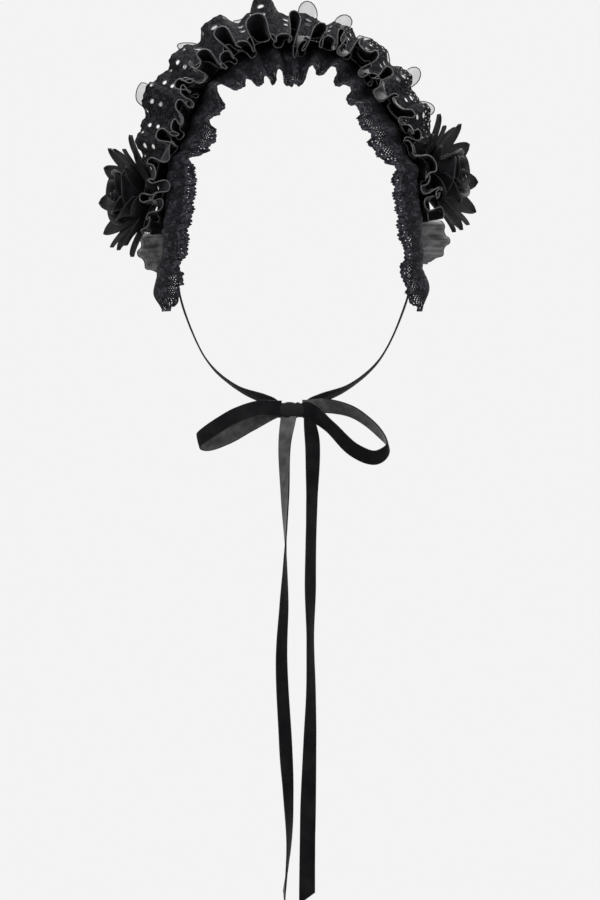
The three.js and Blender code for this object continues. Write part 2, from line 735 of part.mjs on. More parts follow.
function knot() {
  const half = new THREE.Vector3(knotLong / 2, knotDeep / 2, knotTall / 2);
  const outline = new THREE.Shape();
  outline.moveTo(-half.x + knotRound, -half.z);
  outline.lineTo(half.x - knotRound, -half.z);
  outline.quadraticCurveTo(half.x, -half.z, half.x, -half.z + knotRound);
  outline.lineTo(half.x, half.z - knotRound);
  outline.quadraticCurveTo(half.x, half.z, half.x - knotRound, half.z);
  outline.lineTo(-half.x + knotRound, half.z);
  outline.quadraticCurveTo(-half.x, half.z, -half.x, half.z - knotRound);
  outline.lineTo(-half.x, -half.z + knotRound);
  outline.quadraticCurveTo(-half.x, -half.z, -half.x + knotRound, -half.z);
  const geometry = new THREE.ExtrudeGeometry(outline, {
    depth: knotDeep - 2 * knotBevel,
    bevelThickness: knotBevel,
    bevelSize: knotBevel,
    bevelOffset: -knotBevel,
    bevelSegments: 2,
    curveSegments: 3,
  });
  geometry.translate(0, 0, knotBevel - half.y).rotateX(Math.PI / 2);
  const mesh = piece("bow_knot", geometry, velvetBlack);
  mesh.position.copy(knotCentre);
  return mesh;
}

const headdress = new THREE.Group();
headdress.add(bandPiece(), frontLace(), satinFrill(), eyeletPiece(), sheerFrill());
for (const [side, sign] of [["left", -1], ["right", 1]]) {
  headdress.add(strap(side, sign));
}
for (const place of flowerPlaces) headdress.add(flower(place));
headdress.add(bowLoop("left", -1, leftLoop), bowLoop("right", 1, rightLoop));
headdress.add(tail("left", leftTail), tail("right", rightTail));
headdress.add(knot());

export default headdress;
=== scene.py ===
"""Ruffled headdress: gathered lace, satin and organza on a cloth band, with flowers and a velvet bow."""

import logging
import math
import random
from bisect import bisect_left
from dataclasses import dataclass, field
from enum import Enum
from functools import cached_property
from typing import Any, Callable, NamedTuple, Sequence

import bpy
from mathutils import Matrix, Vector, noise


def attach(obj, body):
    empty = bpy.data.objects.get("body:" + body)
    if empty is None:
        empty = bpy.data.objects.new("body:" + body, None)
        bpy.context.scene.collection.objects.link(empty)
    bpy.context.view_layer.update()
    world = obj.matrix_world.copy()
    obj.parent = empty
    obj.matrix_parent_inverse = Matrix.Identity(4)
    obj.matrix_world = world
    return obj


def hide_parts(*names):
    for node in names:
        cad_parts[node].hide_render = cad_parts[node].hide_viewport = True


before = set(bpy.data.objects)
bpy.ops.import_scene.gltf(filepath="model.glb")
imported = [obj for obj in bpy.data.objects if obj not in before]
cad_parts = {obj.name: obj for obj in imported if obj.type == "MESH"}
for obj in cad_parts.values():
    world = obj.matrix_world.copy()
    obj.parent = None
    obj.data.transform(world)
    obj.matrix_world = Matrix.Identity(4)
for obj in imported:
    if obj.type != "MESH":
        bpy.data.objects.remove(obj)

log = logging.getLogger("headdress")

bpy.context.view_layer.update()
UP = Vector((0, 0, 1))
FRONT = Vector((0, -1, 0))
MM = 1000
CREASE = math.radians(55)
LANE_STEP = 7.31
LANE_START = 0.37

Colour = tuple[float, float, float]
Place = Callable[[float, float], Vector]


class Side(Enum):
    """A side of the headdress, as seen from the front."""

    LEFT = -1
    RIGHT = 1

    @property
    def word(self) -> str:
        """The side's name in node and piece names."""
        return self.name.lower()


class Held(Enum):
    """How a cloth is held."""

    GATHERED = "gathered"
    LAID = "laid"
    FOLDED = "folded"
    HUNG = "hung"
    STRETCHED = "stretched"


def mix(low: float, high: float, share: float) -> float:
    """A number that lies the share of the way from low to high."""
    return low + (high - low) * share


def clamp(value: float, low: float = 0.0, high: float = 1.0) -> float:
    """The value, kept between low and high."""
    return max(low, min(high, value))


def smooth(value: float) -> float:
    """An S-shaped step from 0 to 1."""
    value = clamp(value)
    return value * value * (3 - 2 * value)


def evenly(low: float, high: float, steps: int) -> list[float]:
    """The steps + 1 even places from low to high."""
    return [mix(low, high, i / steps) for i in range(steps + 1)]


def wander(place: float, lane: float) -> float:
    """Smooth noise that is the same on each run.

    Args:
        place: how far along, in units of the noise's own wave.
        lane: which of many unlike noises.

    Returns:
        A number between about -1 and 1.
    """
    return noise.noise(Vector((place, lane * LANE_STEP, LANE_START)))


# Materials


class Value:
    """A number in a material. Python's operators on it make Math nodes."""

    def __init__(self, shade: "Shade", socket: Any) -> None:
        """Wraps a socket, or a plain number, of one shade."""
        self.shade = shade
        self.socket = socket

    def math(self, operation: str, *others: Any) -> "Value":
        """The result of a Math node.

        Args:
            operation: the node's operation.
            others: its further inputs, as values or numbers.

        Returns:
            The node's output.
        """
        inputs = [self.socket, *(o.socket if isinstance(o, Value) else o for o in others)]
        made = self.shade.node("ShaderNodeMath", {"operation": operation}, dict(enumerate(inputs)))
        return Value(self.shade, made.outputs[0])

    def __add__(self, other: Any) -> "Value":
        """The sum."""
        return self.math("ADD", other)

    def __sub__(self, other: Any) -> "Value":
        """The difference."""
        return self.math("SUBTRACT", other)

    def __rsub__(self, other: Any) -> "Value":
        """The difference from a number."""
        return Value(self.shade, other).math("SUBTRACT", self)

    def __mul__(self, other: Any) -> "Value":
        """The product."""
        return self.math("MULTIPLY", other)

    def __truediv__(self, other: Any) -> "Value":
        """The quotient."""
        return self.math("DIVIDE", other)

    def __pow__(self, other: Any) -> "Value":
        """The power."""
        return self.math("POWER", other)

    def __gt__(self, other: Any) -> "Value":
        """1 where it is greater, else 0."""
        return self.math("GREATER_THAN", other)

    def __abs__(self) -> "Value":
        """The size without its sign."""
        return self.math("ABSOLUTE")

    def sin(self) -> "Value":
        """The sine."""
        return self.math("SINE")

    def fract(self) -> "Value":
        """What is left of the whole numbers."""
        return self.math("FRACT")

    def low(self, other: Any) -> "Value":
        """The lesser of two."""
        return self.math("MINIMUM", other)

    def high(self, other: Any) -> "Value":
        """The greater of two."""
        return self.math("MAXIMUM", other)

    def ramp(self, start: float, end: float) -> "Value":
        """A soft step.

        Args:
            start: the value up to which it is 0.
            end: the value from which it is 1.

        Returns:
            The step's height.
        """
        settings = {"interpolation_type": "SMOOTHSTEP"}
        inputs = {"Value": self.socket, "From Min": start, "From Max": end}
        return Value(self.shade, self.shade.node("ShaderNodeMapRange", settings, inputs).outputs[0])


class Shade:
    """The node tree of one material."""

    def __init__(self, name: str) -> None:
        """Starts a material with a plain shader.

        Args:
            name: the material's name.
        """
        self.material = bpy.data.materials.new(name)
        self.material.use_nodes = True
        self.tree = self.material.node_tree
        self.shader = self.tree.nodes["Principled BSDF"]

    def node(self, kind: str, settings: dict | None = None, inputs: dict | None = None) -> bpy.types.Node:
        """Adds any node.

        Args:
            kind: the node's type.
            settings: its properties and their values.
            inputs: its inputs by name or number, as sockets or constants.

        Returns:
            The new node.
        """
        made = self.tree.nodes.new(kind)
        for name, value in (settings or {}).items():
            setattr(made, name, value)
        for name, value in (inputs or {}).items():
            value = value.socket if isinstance(value, Value) else value
            if isinstance(value, bpy.types.NodeSocket):
                self.tree.links.new(value, made.inputs[name])
            else:
                made.inputs[name].default_value = value
        return made

    def along_cloth(self) -> tuple[Value, Value]:
        """The place on the cloth in millimetres, along it and across it."""
        split = self.node("ShaderNodeSeparateXYZ", {}, {0: self.node("ShaderNodeTexCoord").outputs["UV"]})
        return Value(self, split.outputs["X"]) * MM, Value(self, split.outputs["Y"]) * MM

    def noise(self, scale: float, detail: float = 2.0) -> Value:
        """Noise on the object's own coordinates.

        Args:
            scale: lumps to a metre.
            detail: how many finer noises are added.

        Returns:
            A number from 0 to 1, mostly near a half.
        """
        place = self.node("ShaderNodeTexCoord").outputs["Object"]
        inputs = {"Vector": place, "Scale": scale, "Detail": detail}
        return Value(self, self.node("ShaderNodeTexNoise", {}, inputs).outputs[0])

    def tone(self, share: Value, dark: Colour, pale: Colour) -> Value:
        """A colour between two.

        Args:
            share: 0 for the dark one and 1 for the pale one.
            dark: the dark colour.
            pale: the pale colour.

        Returns:
            The colour.
        """
        inputs = {"Factor": share, 6: (*dark, 1), 7: (*pale, 1)}
        return Value(self, self.node("ShaderNodeMix", {"data_type": "RGBA"}, inputs).outputs[2])

    def bump(self, height: Value, depth_mm: float) -> Value:
        """A surface relief.

        Args:
            height: the relief from 0 to 1.
            depth_mm: how far 1 stands above 0.

        Returns:
            The normal that it gives.
        """
        inputs = {"Height": height, "Distance": depth_mm / MM, "Strength": 1.0}
        return Value(self, self.node("ShaderNodeBump", {}, inputs).outputs[0])

    def finish(self, **sockets: Any) -> bpy.types.Material:
        """Sets the shader's sockets.

        Args:
            sockets: what goes to each socket, whose name has _ for a space and capitals as on the shader.

        Returns:
            The material.
        """
        for name, value in sockets.items():
            target = self.shader.inputs[name.replace("_", " ")]
            if isinstance(value, Value):
                self.tree.links.new(value.socket, target)
            else:
                target.default_value = value
        return self.material


def weave(x: Value, y: Value, pitch_mm: float) -> Value:
    """The height of a plain weave, from 0 to 1.

    Args:
        x: place along the cloth in millimetres.
        y: place across it.
        pitch_mm: from one thread to the next.

    Returns:
        The height.
    """
    turn = math.pi / pitch_mm
    return (x * turn).sin() * (y * turn).sin() * 0.5 + 0.5


@dataclass(frozen=True)
class CottonCloth:
    """Matt woven cotton with a stitched edge."""

    dark: Colour = (0.004, 0.004, 0.005)
    pale: Colour = (0.011, 0.011, 0.012)
    thread_mm: float = 0.45
    rough: float = 0.9

    def material(self, name: str) -> bpy.types.Material:
        """The cloth's material.

        Args:
            name: the material's name.

        Returns:
            The material.
        """
        shade = Shade(name)
        x, y = shade.along_cloth()
        cloth = weave(x, y, self.thread_mm)
        worn = shade.noise(60, 4)
        return shade.finish(
            Base_Color=shade.tone(worn.ramp(0.35, 0.7), self.dark, self.pale),
            Roughness=self.rough,
            Sheen_Weight=0.06,
            Sheen_Roughness=0.6,
            Specular_IOR_Level=0.2,
            Normal=shade.bump(cloth * 0.6 + worn * 0.8, 0.18),
        )


@dataclass(frozen=True)
class SatinCloth:
    """Satin with fine diagonal floats."""

    dark: Colour = (0.004, 0.004, 0.005)
    pale: Colour = (0.011, 0.011, 0.013)
    rough: float = 0.52
    sheen: float = 0.04
    float_mm: float = 0.32

    def material(self, name: str) -> bpy.types.Material:
        """The satin's material.

        Args:
            name: the material's name.

        Returns:
            The material.
        """
        shade = Shade(name)
        x, y = shade.along_cloth()
        floats = ((x + y * 0.6) * (math.pi / self.float_mm)).sin() * 0.5 + 0.5
        creased = shade.noise(190, 4)
        return shade.finish(
            Base_Color=shade.tone(creased.ramp(0.3, 0.75), self.dark, self.pale),
            Roughness=creased * 0.2 + (self.rough - 0.1),
            Sheen_Weight=self.sheen,
            Sheen_Roughness=0.35,
            Specular_IOR_Level=0.13,
            Normal=shade.bump(floats * 0.12 + creased, 0.25),
        )


@dataclass(frozen=True)
class VelvetPile:
    """Velvet whose pile catches the light at its edges."""

    dark: Colour = (0.0015, 0.0015, 0.002)
    pale: Colour = (0.006, 0.006, 0.0065)
    width_mm: float = 10.0
    selvedge_mm: float = 0.45

    def material(self, name: str) -> bpy.types.Material:
        """The velvet's material.

        Args:
            name: the material's name.

        Returns:
            The material.
        """
        shade = Shade(name)
        _, y = shade.along_cloth()
        pile = shade.noise(2600, 2)
        brushed = shade.noise(90, 3)
        from_edge = y.low(self.width_mm - y)
        woven_edge = 1 - from_edge.ramp(self.selvedge_mm * 0.6, self.selvedge_mm)
        tone = (brushed * 0.7 + pile * 0.3).ramp(0.35, 0.7) * 0.8 + woven_edge * 0.9
        return shade.finish(
            Base_Color=shade.tone(tone, self.dark, self.pale),
            Roughness=0.92 - woven_edge * 0.3,
            Sheen_Weight=0.12,
            Sheen_Roughness=0.28,
            Sheen_Tint=(0.5, 0.5, 0.54, 1),
            Specular_IOR_Level=0.07,
            Normal=shade.bump(pile - woven_edge * 0.8, 0.3),
        )


@dataclass(frozen=True)
class PetalCloth:
    """Stiffened matt petal cloth, veined from its foot to its tip."""

    dark: Colour = (0.002, 0.002, 0.0025)
    pale: Colour = (0.009, 0.009, 0.01)
    vein_mm: float = 1.5

    def material(self, name: str) -> bpy.types.Material:
        """The petals' material.

        Args:
            name: the material's name.

        Returns:
            The material.
        """
        shade = Shade(name)
        x, y = shade.along_cloth()
        veins = (abs(y) * (2 * math.pi / self.vein_mm) - x * 0.5).sin() * 0.5 + 0.5
        grain = shade.noise(320, 4)
        height = veins * 0.35 + grain * 0.8 + weave(x, y, 0.35) * 0.12
        return shade.finish(
            Base_Color=shade.tone(grain.ramp(0.3, 0.75), self.dark, self.pale),
            Roughness=0.62,
            Sheen_Weight=0.02,
            Sheen_Roughness=0.5,
            Specular_IOR_Level=0.16,
            Normal=shade.bump(height, 0.35),
        )


@dataclass(frozen=True)
class ScallopLace:
    """Net with flowers and a scalloped border. Its second coordinate runs from the free edge."""

    dark: Colour = (0.002, 0.002, 0.003)
    pale: Colour = (0.022, 0.022, 0.028)
    net_mm: float = 2.1
    border_mm: float = 4.2
    picot_mm: float = 1.55
    flower_mm: float = 17.0
    flower_at_mm: float = 14.0

    def flower(self, x: Value, y: Value, at: float, shift: float, size: float) -> Value:
        """One row of flowers.

        Args:
            x: place along the lace in millimetres.
            y: place from its free edge.
            at: the row's place from the free edge.
            shift: how far the row is moved along, as a share of its pitch.
            size: the flowers' radius in millimetres.

        Returns:
            1 on the flowers, else 0.
        """
        across = ((x / self.flower_mm + shift).fract() - 0.5) * self.flower_mm
        up = y - at
        radius = (across * across + up * up) ** 0.5
        angle = up.math("ARCTAN2", across)
        petal = abs((angle * 2.5).sin()) * 0.45 + 0.55
        whole = 1 - (radius / petal).ramp(size * 0.9, size)
        ring = abs(radius - size * 0.28).ramp(size * 0.03, size * 0.1)
        return whole * ring

    def material(self, name: str) -> bpy.types.Material:
        """The lace's material.

        Args:
            name: the material's name.

        Returns:
            The material.
        """
        shade = Shade(name)
        x, y = shade.along_cloth()
        uneven = shade.noise(300, 2) * 1.2
        one = ((x + y * 1.2 + uneven) / self.net_mm).fract()
        other = ((x - y * 1.2 + uneven) / self.net_mm).fract()
        thread = y.ramp(3.0, 15.0) * 0.34 + 0.46
        net = (1 - (one - thread).ramp(0.0, 0.06)).high(1 - (other - thread).ramp(0.0, 0.06))
        picots = ((x * (math.pi / self.picot_mm)).sin() * 0.35 + shade.noise(500, 2) * 0.9) > (0.6 - y)
        border = 1 - y.ramp(self.border_mm - 0.3, self.border_mm + 0.1)
        hole_x = ((x / self.picot_mm / 2).fract() - 0.5) * (2 * self.picot_mm)
        hole_y = y - self.border_mm * 0.58
        holes = ((hole_x * hole_x + hole_y * hole_y) ** 0.5).ramp(0.55, 0.75)
        big = self.flower(x, y, self.flower_at_mm, 0.0, 6.2)
        small = self.flower(x, y, self.flower_at_mm - 5.5, 0.5, 3.4)
        upper = self.flower(x, y, self.flower_at_mm + 14, 0.5, 5.6)
        high = self.flower(x, y, self.flower_at_mm + 27, 0.0, 5.6)
        motifs = big.high(small).high(upper).high(high)
        cloth = net.high(motifs).high(border * holes) * picots
        loops = shade.noise(520, 3)
        height = motifs * 0.6 + border * 0.7 + loops * 0.5 + weave(x, y, 0.5) * 0.2
        tone = (motifs * 0.8 + border * 0.6 + 0.25) * loops.ramp(0.38, 0.62) * 1.5
        return shade.finish(
            Base_Color=shade.tone(tone, self.dark, self.pale),
            Roughness=0.75,
            Sheen_Weight=0.015,
            Sheen_Roughness=0.5,
            Specular_IOR_Level=0.08,
            Alpha=cloth,
            Normal=shade.bump(height, 0.5),
        )


@dataclass(frozen=True)
class EyeletCloth:
    """Close lace with small knots, and with pin holes in patches."""

    dark: Colour = (0.002, 0.002, 0.003)
    pale: Colour = (0.02, 0.02, 0.023)
    knot_mm: float = 1.3
    pin_mm: float = 2.6
    pins_from_mm: float = 19.0
    pins_fade_mm: float = 3.0

    def material(self, name: str) -> bpy.types.Material:
        """The eyelet lace's material.

        Args:
            name: the material's name.

        Returns:
            The material.
        """
        shade = Shade(name)
        x, y = shade.along_cloth()
        row = (y / self.knot_mm).math("FLOOR")
        along = (x / self.knot_mm + row * 0.5).fract() - 0.5
        across = (y / self.knot_mm).fract() - 0.5
        knots = 1 - ((along * along + across * across) ** 0.5).ramp(0.15, 0.5)
        thread = shade.noise(1300, 3)
        pores = knots.ramp(0.0, 0.22).high(thread.ramp(0.5, 0.6))
        pin_x = (x / self.pin_mm + (y / self.pin_mm).math("FLOOR") * 0.5).fract() - 0.5
        pin_y = (y / self.pin_mm).fract() - 0.5
        patchy = y - shade.noise(70, 2) * 14 + x.ramp(-20, 40) * 10 - 10
        whole = 1 - patchy.ramp(self.pins_from_mm - self.pins_fade_mm, self.pins_from_mm)
        pinned = ((pin_x * pin_x + pin_y * pin_y) ** 0.5).ramp(0.14, 0.24).high(whole)
        grain = shade.noise(430, 3).ramp(0.45, 0.65) * 1.3
        return shade.finish(
            Base_Color=shade.tone(knots * 0.3 + grain, self.dark, self.pale),
            Roughness=0.72,
            Sheen_Weight=0.015,
            Sheen_Roughness=0.45,
            Specular_IOR_Level=0.09,
            Alpha=(pores * 0.16 + 0.84) * pinned,
            Normal=shade.bump(knots + thread * 0.4, 0.7),
        )


@dataclass(frozen=True)
class ThreadFinish:
    """Tightly wound thread, as on a rolled hem or a stitched rim."""

    dark: Colour = (0.006, 0.006, 0.007)
    pale: Colour = (0.026, 0.026, 0.03)
    rough: float = 0.36

    def material(self, name: str) -> bpy.types.Material:
        """The thread's material.

        Args:
            name: the material's name.

        Returns:
            The material.
        """
        shade = Shade(name)
        twist = shade.noise(1500, 2)
        return shade.finish(
            Base_Color=shade.tone(twist.ramp(0.35, 0.7), self.dark, self.pale),
            Roughness=self.rough,
            Sheen_Weight=0.12,
            Sheen_Roughness=0.3,
            Normal=shade.bump(twist, 0.2),
        )


@dataclass(frozen=True)
class Organza:
    """Sheer crisp cloth. It is denser where it is gathered, and at the strip's two ends."""

    dark: Colour = (0.008, 0.008, 0.011)
    pale: Colour = (0.09, 0.09, 0.1)
    solid: float = 0.2
    gathered: float = 0.84
    dense_to_mm: float = 18.0
    sheer_from_mm: float = 25.0
    covered_mm: float = 250.0
    end_mm: float = 20.0
    thread_mm: float = 0.5

    def material(self, name: str) -> bpy.types.Material:
        """The organza's material.

        Args:
            name: the material's name.

        Returns:
            The material.
        """
        shade = Shade(name)
        x, y = shade.along_cloth()
        streaks = ((x + shade.noise(240, 2) * 2) * (math.pi / self.thread_mm)).sin() * 0.5 + 0.5
        cloud = shade.noise(120, 3)
        end = abs(x).ramp(self.covered_mm, self.covered_mm + self.end_mm)
        near = 1 - (y + cloud * 8 - end * self.dense_to_mm).ramp(self.dense_to_mm, self.sheer_from_mm)
        dense = near * (cloud.ramp(0.35, 0.65) * 0.2 + 0.8) * (1 - end * 0.22)
        return shade.finish(
            Base_Color=shade.tone((streaks * 0.5 + cloud * 0.4) * (1 - dense), self.dark, self.pale),
            Roughness=0.42,
            Sheen_Weight=0.25,
            Sheen_Roughness=0.3,
            Alpha=streaks * 0.04 + cloud * 0.16 + (self.solid - 0.08) + dense * self.gathered,
            Normal=shade.bump(weave(x, y, 0.4), 0.06),
        )


@dataclass(frozen=True)
class PalePaper:
    """The seamless paper of the studio."""

    colour: Colour = (0.92, 0.92, 0.915)

    def material(self, name: str) -> bpy.types.Material:
        """The paper's material.

        Args:
            name: the material's name.

        Returns:
            The material.
        """
        shade = Shade(name)
        return shade.finish(Base_Color=(*self.colour, 1), Roughness=0.9, Specular_IOR_Level=0.1)


# Making meshes


def only(*things: bpy.types.Object) -> None:
    """Selects these objects alone and makes the first one active.

    Args:
        things: the objects. With none, nothing is selected.
    """
    bpy.ops.object.select_all(action="DESELECT")
    for thing in things:
        thing.select_set(True)
    bpy.context.view_layer.objects.active = things[0] if things else None


def name_it(thing: bpy.types.Object, name: str) -> bpy.types.Object:
    """Names an object and its data."""
    thing.name = thing.data.name = name
    return thing


def cloth_grid(
    name: str, us: Sequence[float], vs: Sequence[float], place: Place, print_at: Place
) -> bpy.types.Object:
    """A curved cloth, made from a flat grid.

    Args:
        name: the object's name.
        us: the places of its columns, along the cloth.
        vs: the places of its rows, across it.
        place: where each point of the cloth lies.
        print_at: the same point's place on the flat cloth, in metres.

    Returns:
        The cloth, without thickness.
    """
    only()
    columns, rows = len(us) - 1, len(vs) - 1
    bpy.ops.mesh.primitive_grid_add(x_subdivisions=columns, y_subdivisions=rows, size=2, calc_uvs=True)
    cloth = name_it(bpy.context.active_object, name)
    corners = [vertex.co + Vector((1, 1, 0)) for vertex in cloth.data.vertices]
    spots = [(round(c.x / 2 * columns), round(c.y / 2 * rows)) for c in corners]
    for vertex, (i, j) in zip(cloth.data.vertices, spots):
        vertex.co = place(us[i], vs[j])
    flat = {(i, j): print_at(us[i], vs[j]) for i, j in spots}
    layer = cloth.data.uv_layers[0].data
    for loop in cloth.data.loops:
        layer[loop.index].uv = flat[spots[loop.vertex_index]][:2]
    return cloth


def apply_last(thing: bpy.types.Object) -> None:
    """Applies the modifier that was added last."""
    bpy.ops.object.modifier_apply(modifier=thing.modifiers[-1].name)


def give_wall(cloth: bpy.types.Object, wall: float, back: int = 0) -> None:
    """Gives a cloth its thickness.

    Args:
        cloth: the cloth.
        wall: its thickness.
        back: how many material slots on its back's material is.
    """
    only(cloth)
    bpy.ops.object.modifier_add(type="SOLIDIFY")
    solidify = cloth.modifiers[-1]
    solidify.thickness = wall
    solidify.offset = 0
    solidify.material_offset = back
    apply_last(cloth)
    bpy.ops.object.shade_smooth_by_angle(angle=CREASE)


def thread_mesh(
    name: str, lines: Sequence[Sequence[Vector]], radius: float, closed: bool
) -> bpy.types.Object:
    """Round threads along lines of points, as one mesh.

    Args:
        name: the object's name.
        lines: the points of each thread.
        radius: the threads' radius.
        closed: whether each thread is a ring.

    Returns:
        The threads.
    """
    only()
    bpy.ops.curve.primitive_nurbs_path_add()
    threads = name_it(bpy.context.active_object, name)
    threads.data.splines.clear()
    for line in lines:
        spline = threads.data.splines.new("POLY")
        spline.points.add(len(line) - 1)
        for point, place in zip(spline.points, line):
            point.co = (*place, 1)
        spline.use_cyclic_u = closed
    threads.data.bevel_depth = radius
    threads.data.bevel_resolution = 1
    threads.data.use_fill_caps = True
    bpy.ops.object.convert(target="MESH")
    bpy.ops.object.shade_smooth()
    return bpy.context.active_object


def joined(name: str, things: Sequence[bpy.types.Object]) -> bpy.types.Object:
    """Makes several meshes one, with the first one's materials and place.

    Args:
        name: the name of the one.
        things: the meshes.

    Returns:
        The one mesh.
    """
    only(*things)
    bpy.ops.object.join()
    return name_it(bpy.context.active_object, name)


def copy_turned(thing: bpy.types.Object, turn: Matrix) -> bpy.types.Object:
    """Copies an object, with a mesh of its own.

    Args:
        thing: what is copied.
        turn: moves the copy's mesh.

    Returns:
        The copy.
    """
    only(thing)
    bpy.ops.object.duplicate(linked=False)
    copied = bpy.context.active_object
    copied.data.transform(turn)
    return copied


def wear(piece: bpy.types.Object, node: str, slot: str, *finishes: bpy.types.Material) -> bpy.types.Object:
    """Dresses a piece and puts it in its node's place.

    Args:
        piece: the piece.
        node: the node that it replaces.
        slot: the record's material slot. It is not used.
        finishes: the materials that it has not got yet, in the order of its slots.

    Returns:
        The same piece.
    """
    for finish in finishes:
        piece.data.materials.append(finish)
    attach(piece, "root")
    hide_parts(node)
    log.info("%s made, %d faces", piece.name, len(piece.data.polygons))
    return piece


# The crown and the band


@dataclass(frozen=True)
class CrownForm:
    """The form that the band is cut for, and how the headdress sits on it."""

    half_width: float = 0.075
    crown_height: float = 0.105
    roundness: float = 2.2
    half_depth: float = 0.096
    behind: float = 0.012
    fall_radius: float = 0.088
    tilt: float = math.radians(2.3)
    below: float = 0.224
    steps: int = 360
    near: float = 0.0015

    @cached_property
    def outline(self) -> list[tuple[float, float]]:
        """The form's outline over the crown.

        Returns:
            Its points, across and up.
        """
        points = [(-self.half_width, -self.crown_height - self.below)]
        for i in range(self.steps + 1):
            turn = math.pi * i / self.steps
            across = math.cos(turn)
            points.append(
                (
                    -self.half_width * math.copysign(abs(across) ** (2 / self.roundness), across),
                    -self.crown_height * (1 - abs(math.sin(turn)) ** (2 / self.roundness)),
                )
            )
        return [*points, (self.half_width, -self.crown_height - self.below)]

    @cached_property
    def lengths(self) -> list[float]:
        """The length along the outline at each point.

        Returns:
            The lengths from the crown's middle, negative to the left.
        """
        total = [0.0]
        for before, after in zip(self.outline, self.outline[1:]):
            total.append(total[-1] + math.dist(before, after))
        return [length - total[-1] / 2 for length in total]

    def line_at(self, s: float) -> tuple[float, float]:
        """The outline's place.

        Args:
            s: the length along it from the crown.

        Returns:
            How far across and up it is.
        """
        i = int(clamp(bisect_left(self.lengths, s), 1, len(self.lengths) - 1))
        share = (s - self.lengths[i - 1]) / (self.lengths[i] - self.lengths[i - 1])
        (x0, z0), (x1, z1) = self.outline[i - 1], self.outline[i]
        return mix(x0, x1, share), mix(z0, z1, share)

    def fall(self, forward: float) -> float:
        """How far the form falls away in front of the band's middle or behind it.

        Args:
            forward: how far in front of the band's middle.

        Returns:
            The fall from the band's middle.
        """

        def depth(at: float) -> float:
            """The fall from the form's widest section."""
            inside = max(0.02, 1 - ((at + self.behind) / self.half_depth) ** 2)
            return self.fall_radius * (1 - math.sqrt(inside))

        return depth(forward) - depth(0)

    def point(self, s: float, forward: float, out: float) -> Vector:
        """A place by the crown.

        Args:
            s: the length along the crown, negative to the left.
            forward: how far forward of the band's middle.
            out: how far out from the crown's line.

        Returns:
            The place, with the headdress worn as it is.
        """
        x, z = self.line_at(s)
        (x0, z0), (x1, z1) = self.line_at(s - self.near), self.line_at(s + self.near)
        size = math.hypot(x1 - x0, z1 - z0)
        x, z = x - (z1 - z0) / size * out, z + (x1 - x0) / size * out
        sin, cos = math.sin(self.tilt), math.cos(self.tilt)
        return Vector((x * cos - z * sin, -forward, x * sin + z * cos))


CROWN = CrownForm()


@dataclass(frozen=True)
class Band:
    """The cloth band over the crown."""

    half_length: float = 0.172
    width: float = 0.041
    wall: float = 0.002
    end_taper: float = 0.022
    end_share: float = 0.55
    edge_share: float = 0.3
    pucker: float = 0.0002
    seam_gap: float = 0.00035
    cloth_wall: float = 0.001
    cells: tuple[int, int] = (172, 16)

    def seam_height(self, forward: float) -> float:
        """How far out a strip's seam lies on the band."""
        return self.wall + self.seam_gap + self.cloth_wall / 2 - CROWN.fall(forward)

    def half_at(self, s: float) -> float:
        """Half the band's width at a length from the crown."""
        left = min(1.0, (self.half_length - abs(s)) / self.end_taper)
        return self.width / 2 * mix(self.end_share, 1, math.sin(math.pi / 2 * left))

    def build(self) -> bpy.types.Object:
        """Makes the band.

        Returns:
            The band.
        """

        def place(s: float, v: float) -> Vector:
            """A point of the band's middle surface.

            Args:
                s: the length along the crown.
                v: how far across it, from -1 in front to 1 behind.

            Returns:
                The place.
            """
            forward = -self.half_at(s) * v
            pucker = self.pucker * math.sin(s * 900 + 3 * wander(s * 60, 2)) * (1 - abs(v))
            return CROWN.point(s, forward, self.wall / 2 - CROWN.fall(forward) + pucker)

        def flat(s: float, v: float) -> Vector:
            """The place on the flat band."""
            return Vector((s, v * self.width / 2, 0))

        us = evenly(-self.half_length, self.half_length, self.cells[0])
        band = cloth_grid("band_cloth", us, evenly(-1, 1, self.cells[1]), place, flat)
        give_wall(band, self.wall)
        only(band)
        bpy.ops.object.modifier_add(type="BEVEL")
        band.modifiers[-1].width = self.wall * self.edge_share
        band.modifiers[-1].segments = 2
        apply_last(band)
        wear(band, "band", "cloth", CottonCloth().material("band cotton"))
        return band


BAND = Band()


# Gathered strips


class LaceFold(NamedTuple):
    """A fold of the front lace. Angles are in degrees, lengths shares of the lace's width."""

    at: float
    dip: float
    swing: float
    reach: float
    stand: float
    puff: float


class FrillFold(NamedTuple):
    """A fold of the satin frill."""

    at: float
    swing: float
    reach: float


class StandingFold(NamedTuple):
    """A fold of a strip that stands up from the band."""

    at: float
    lean: float
    swing: float
    reach: float


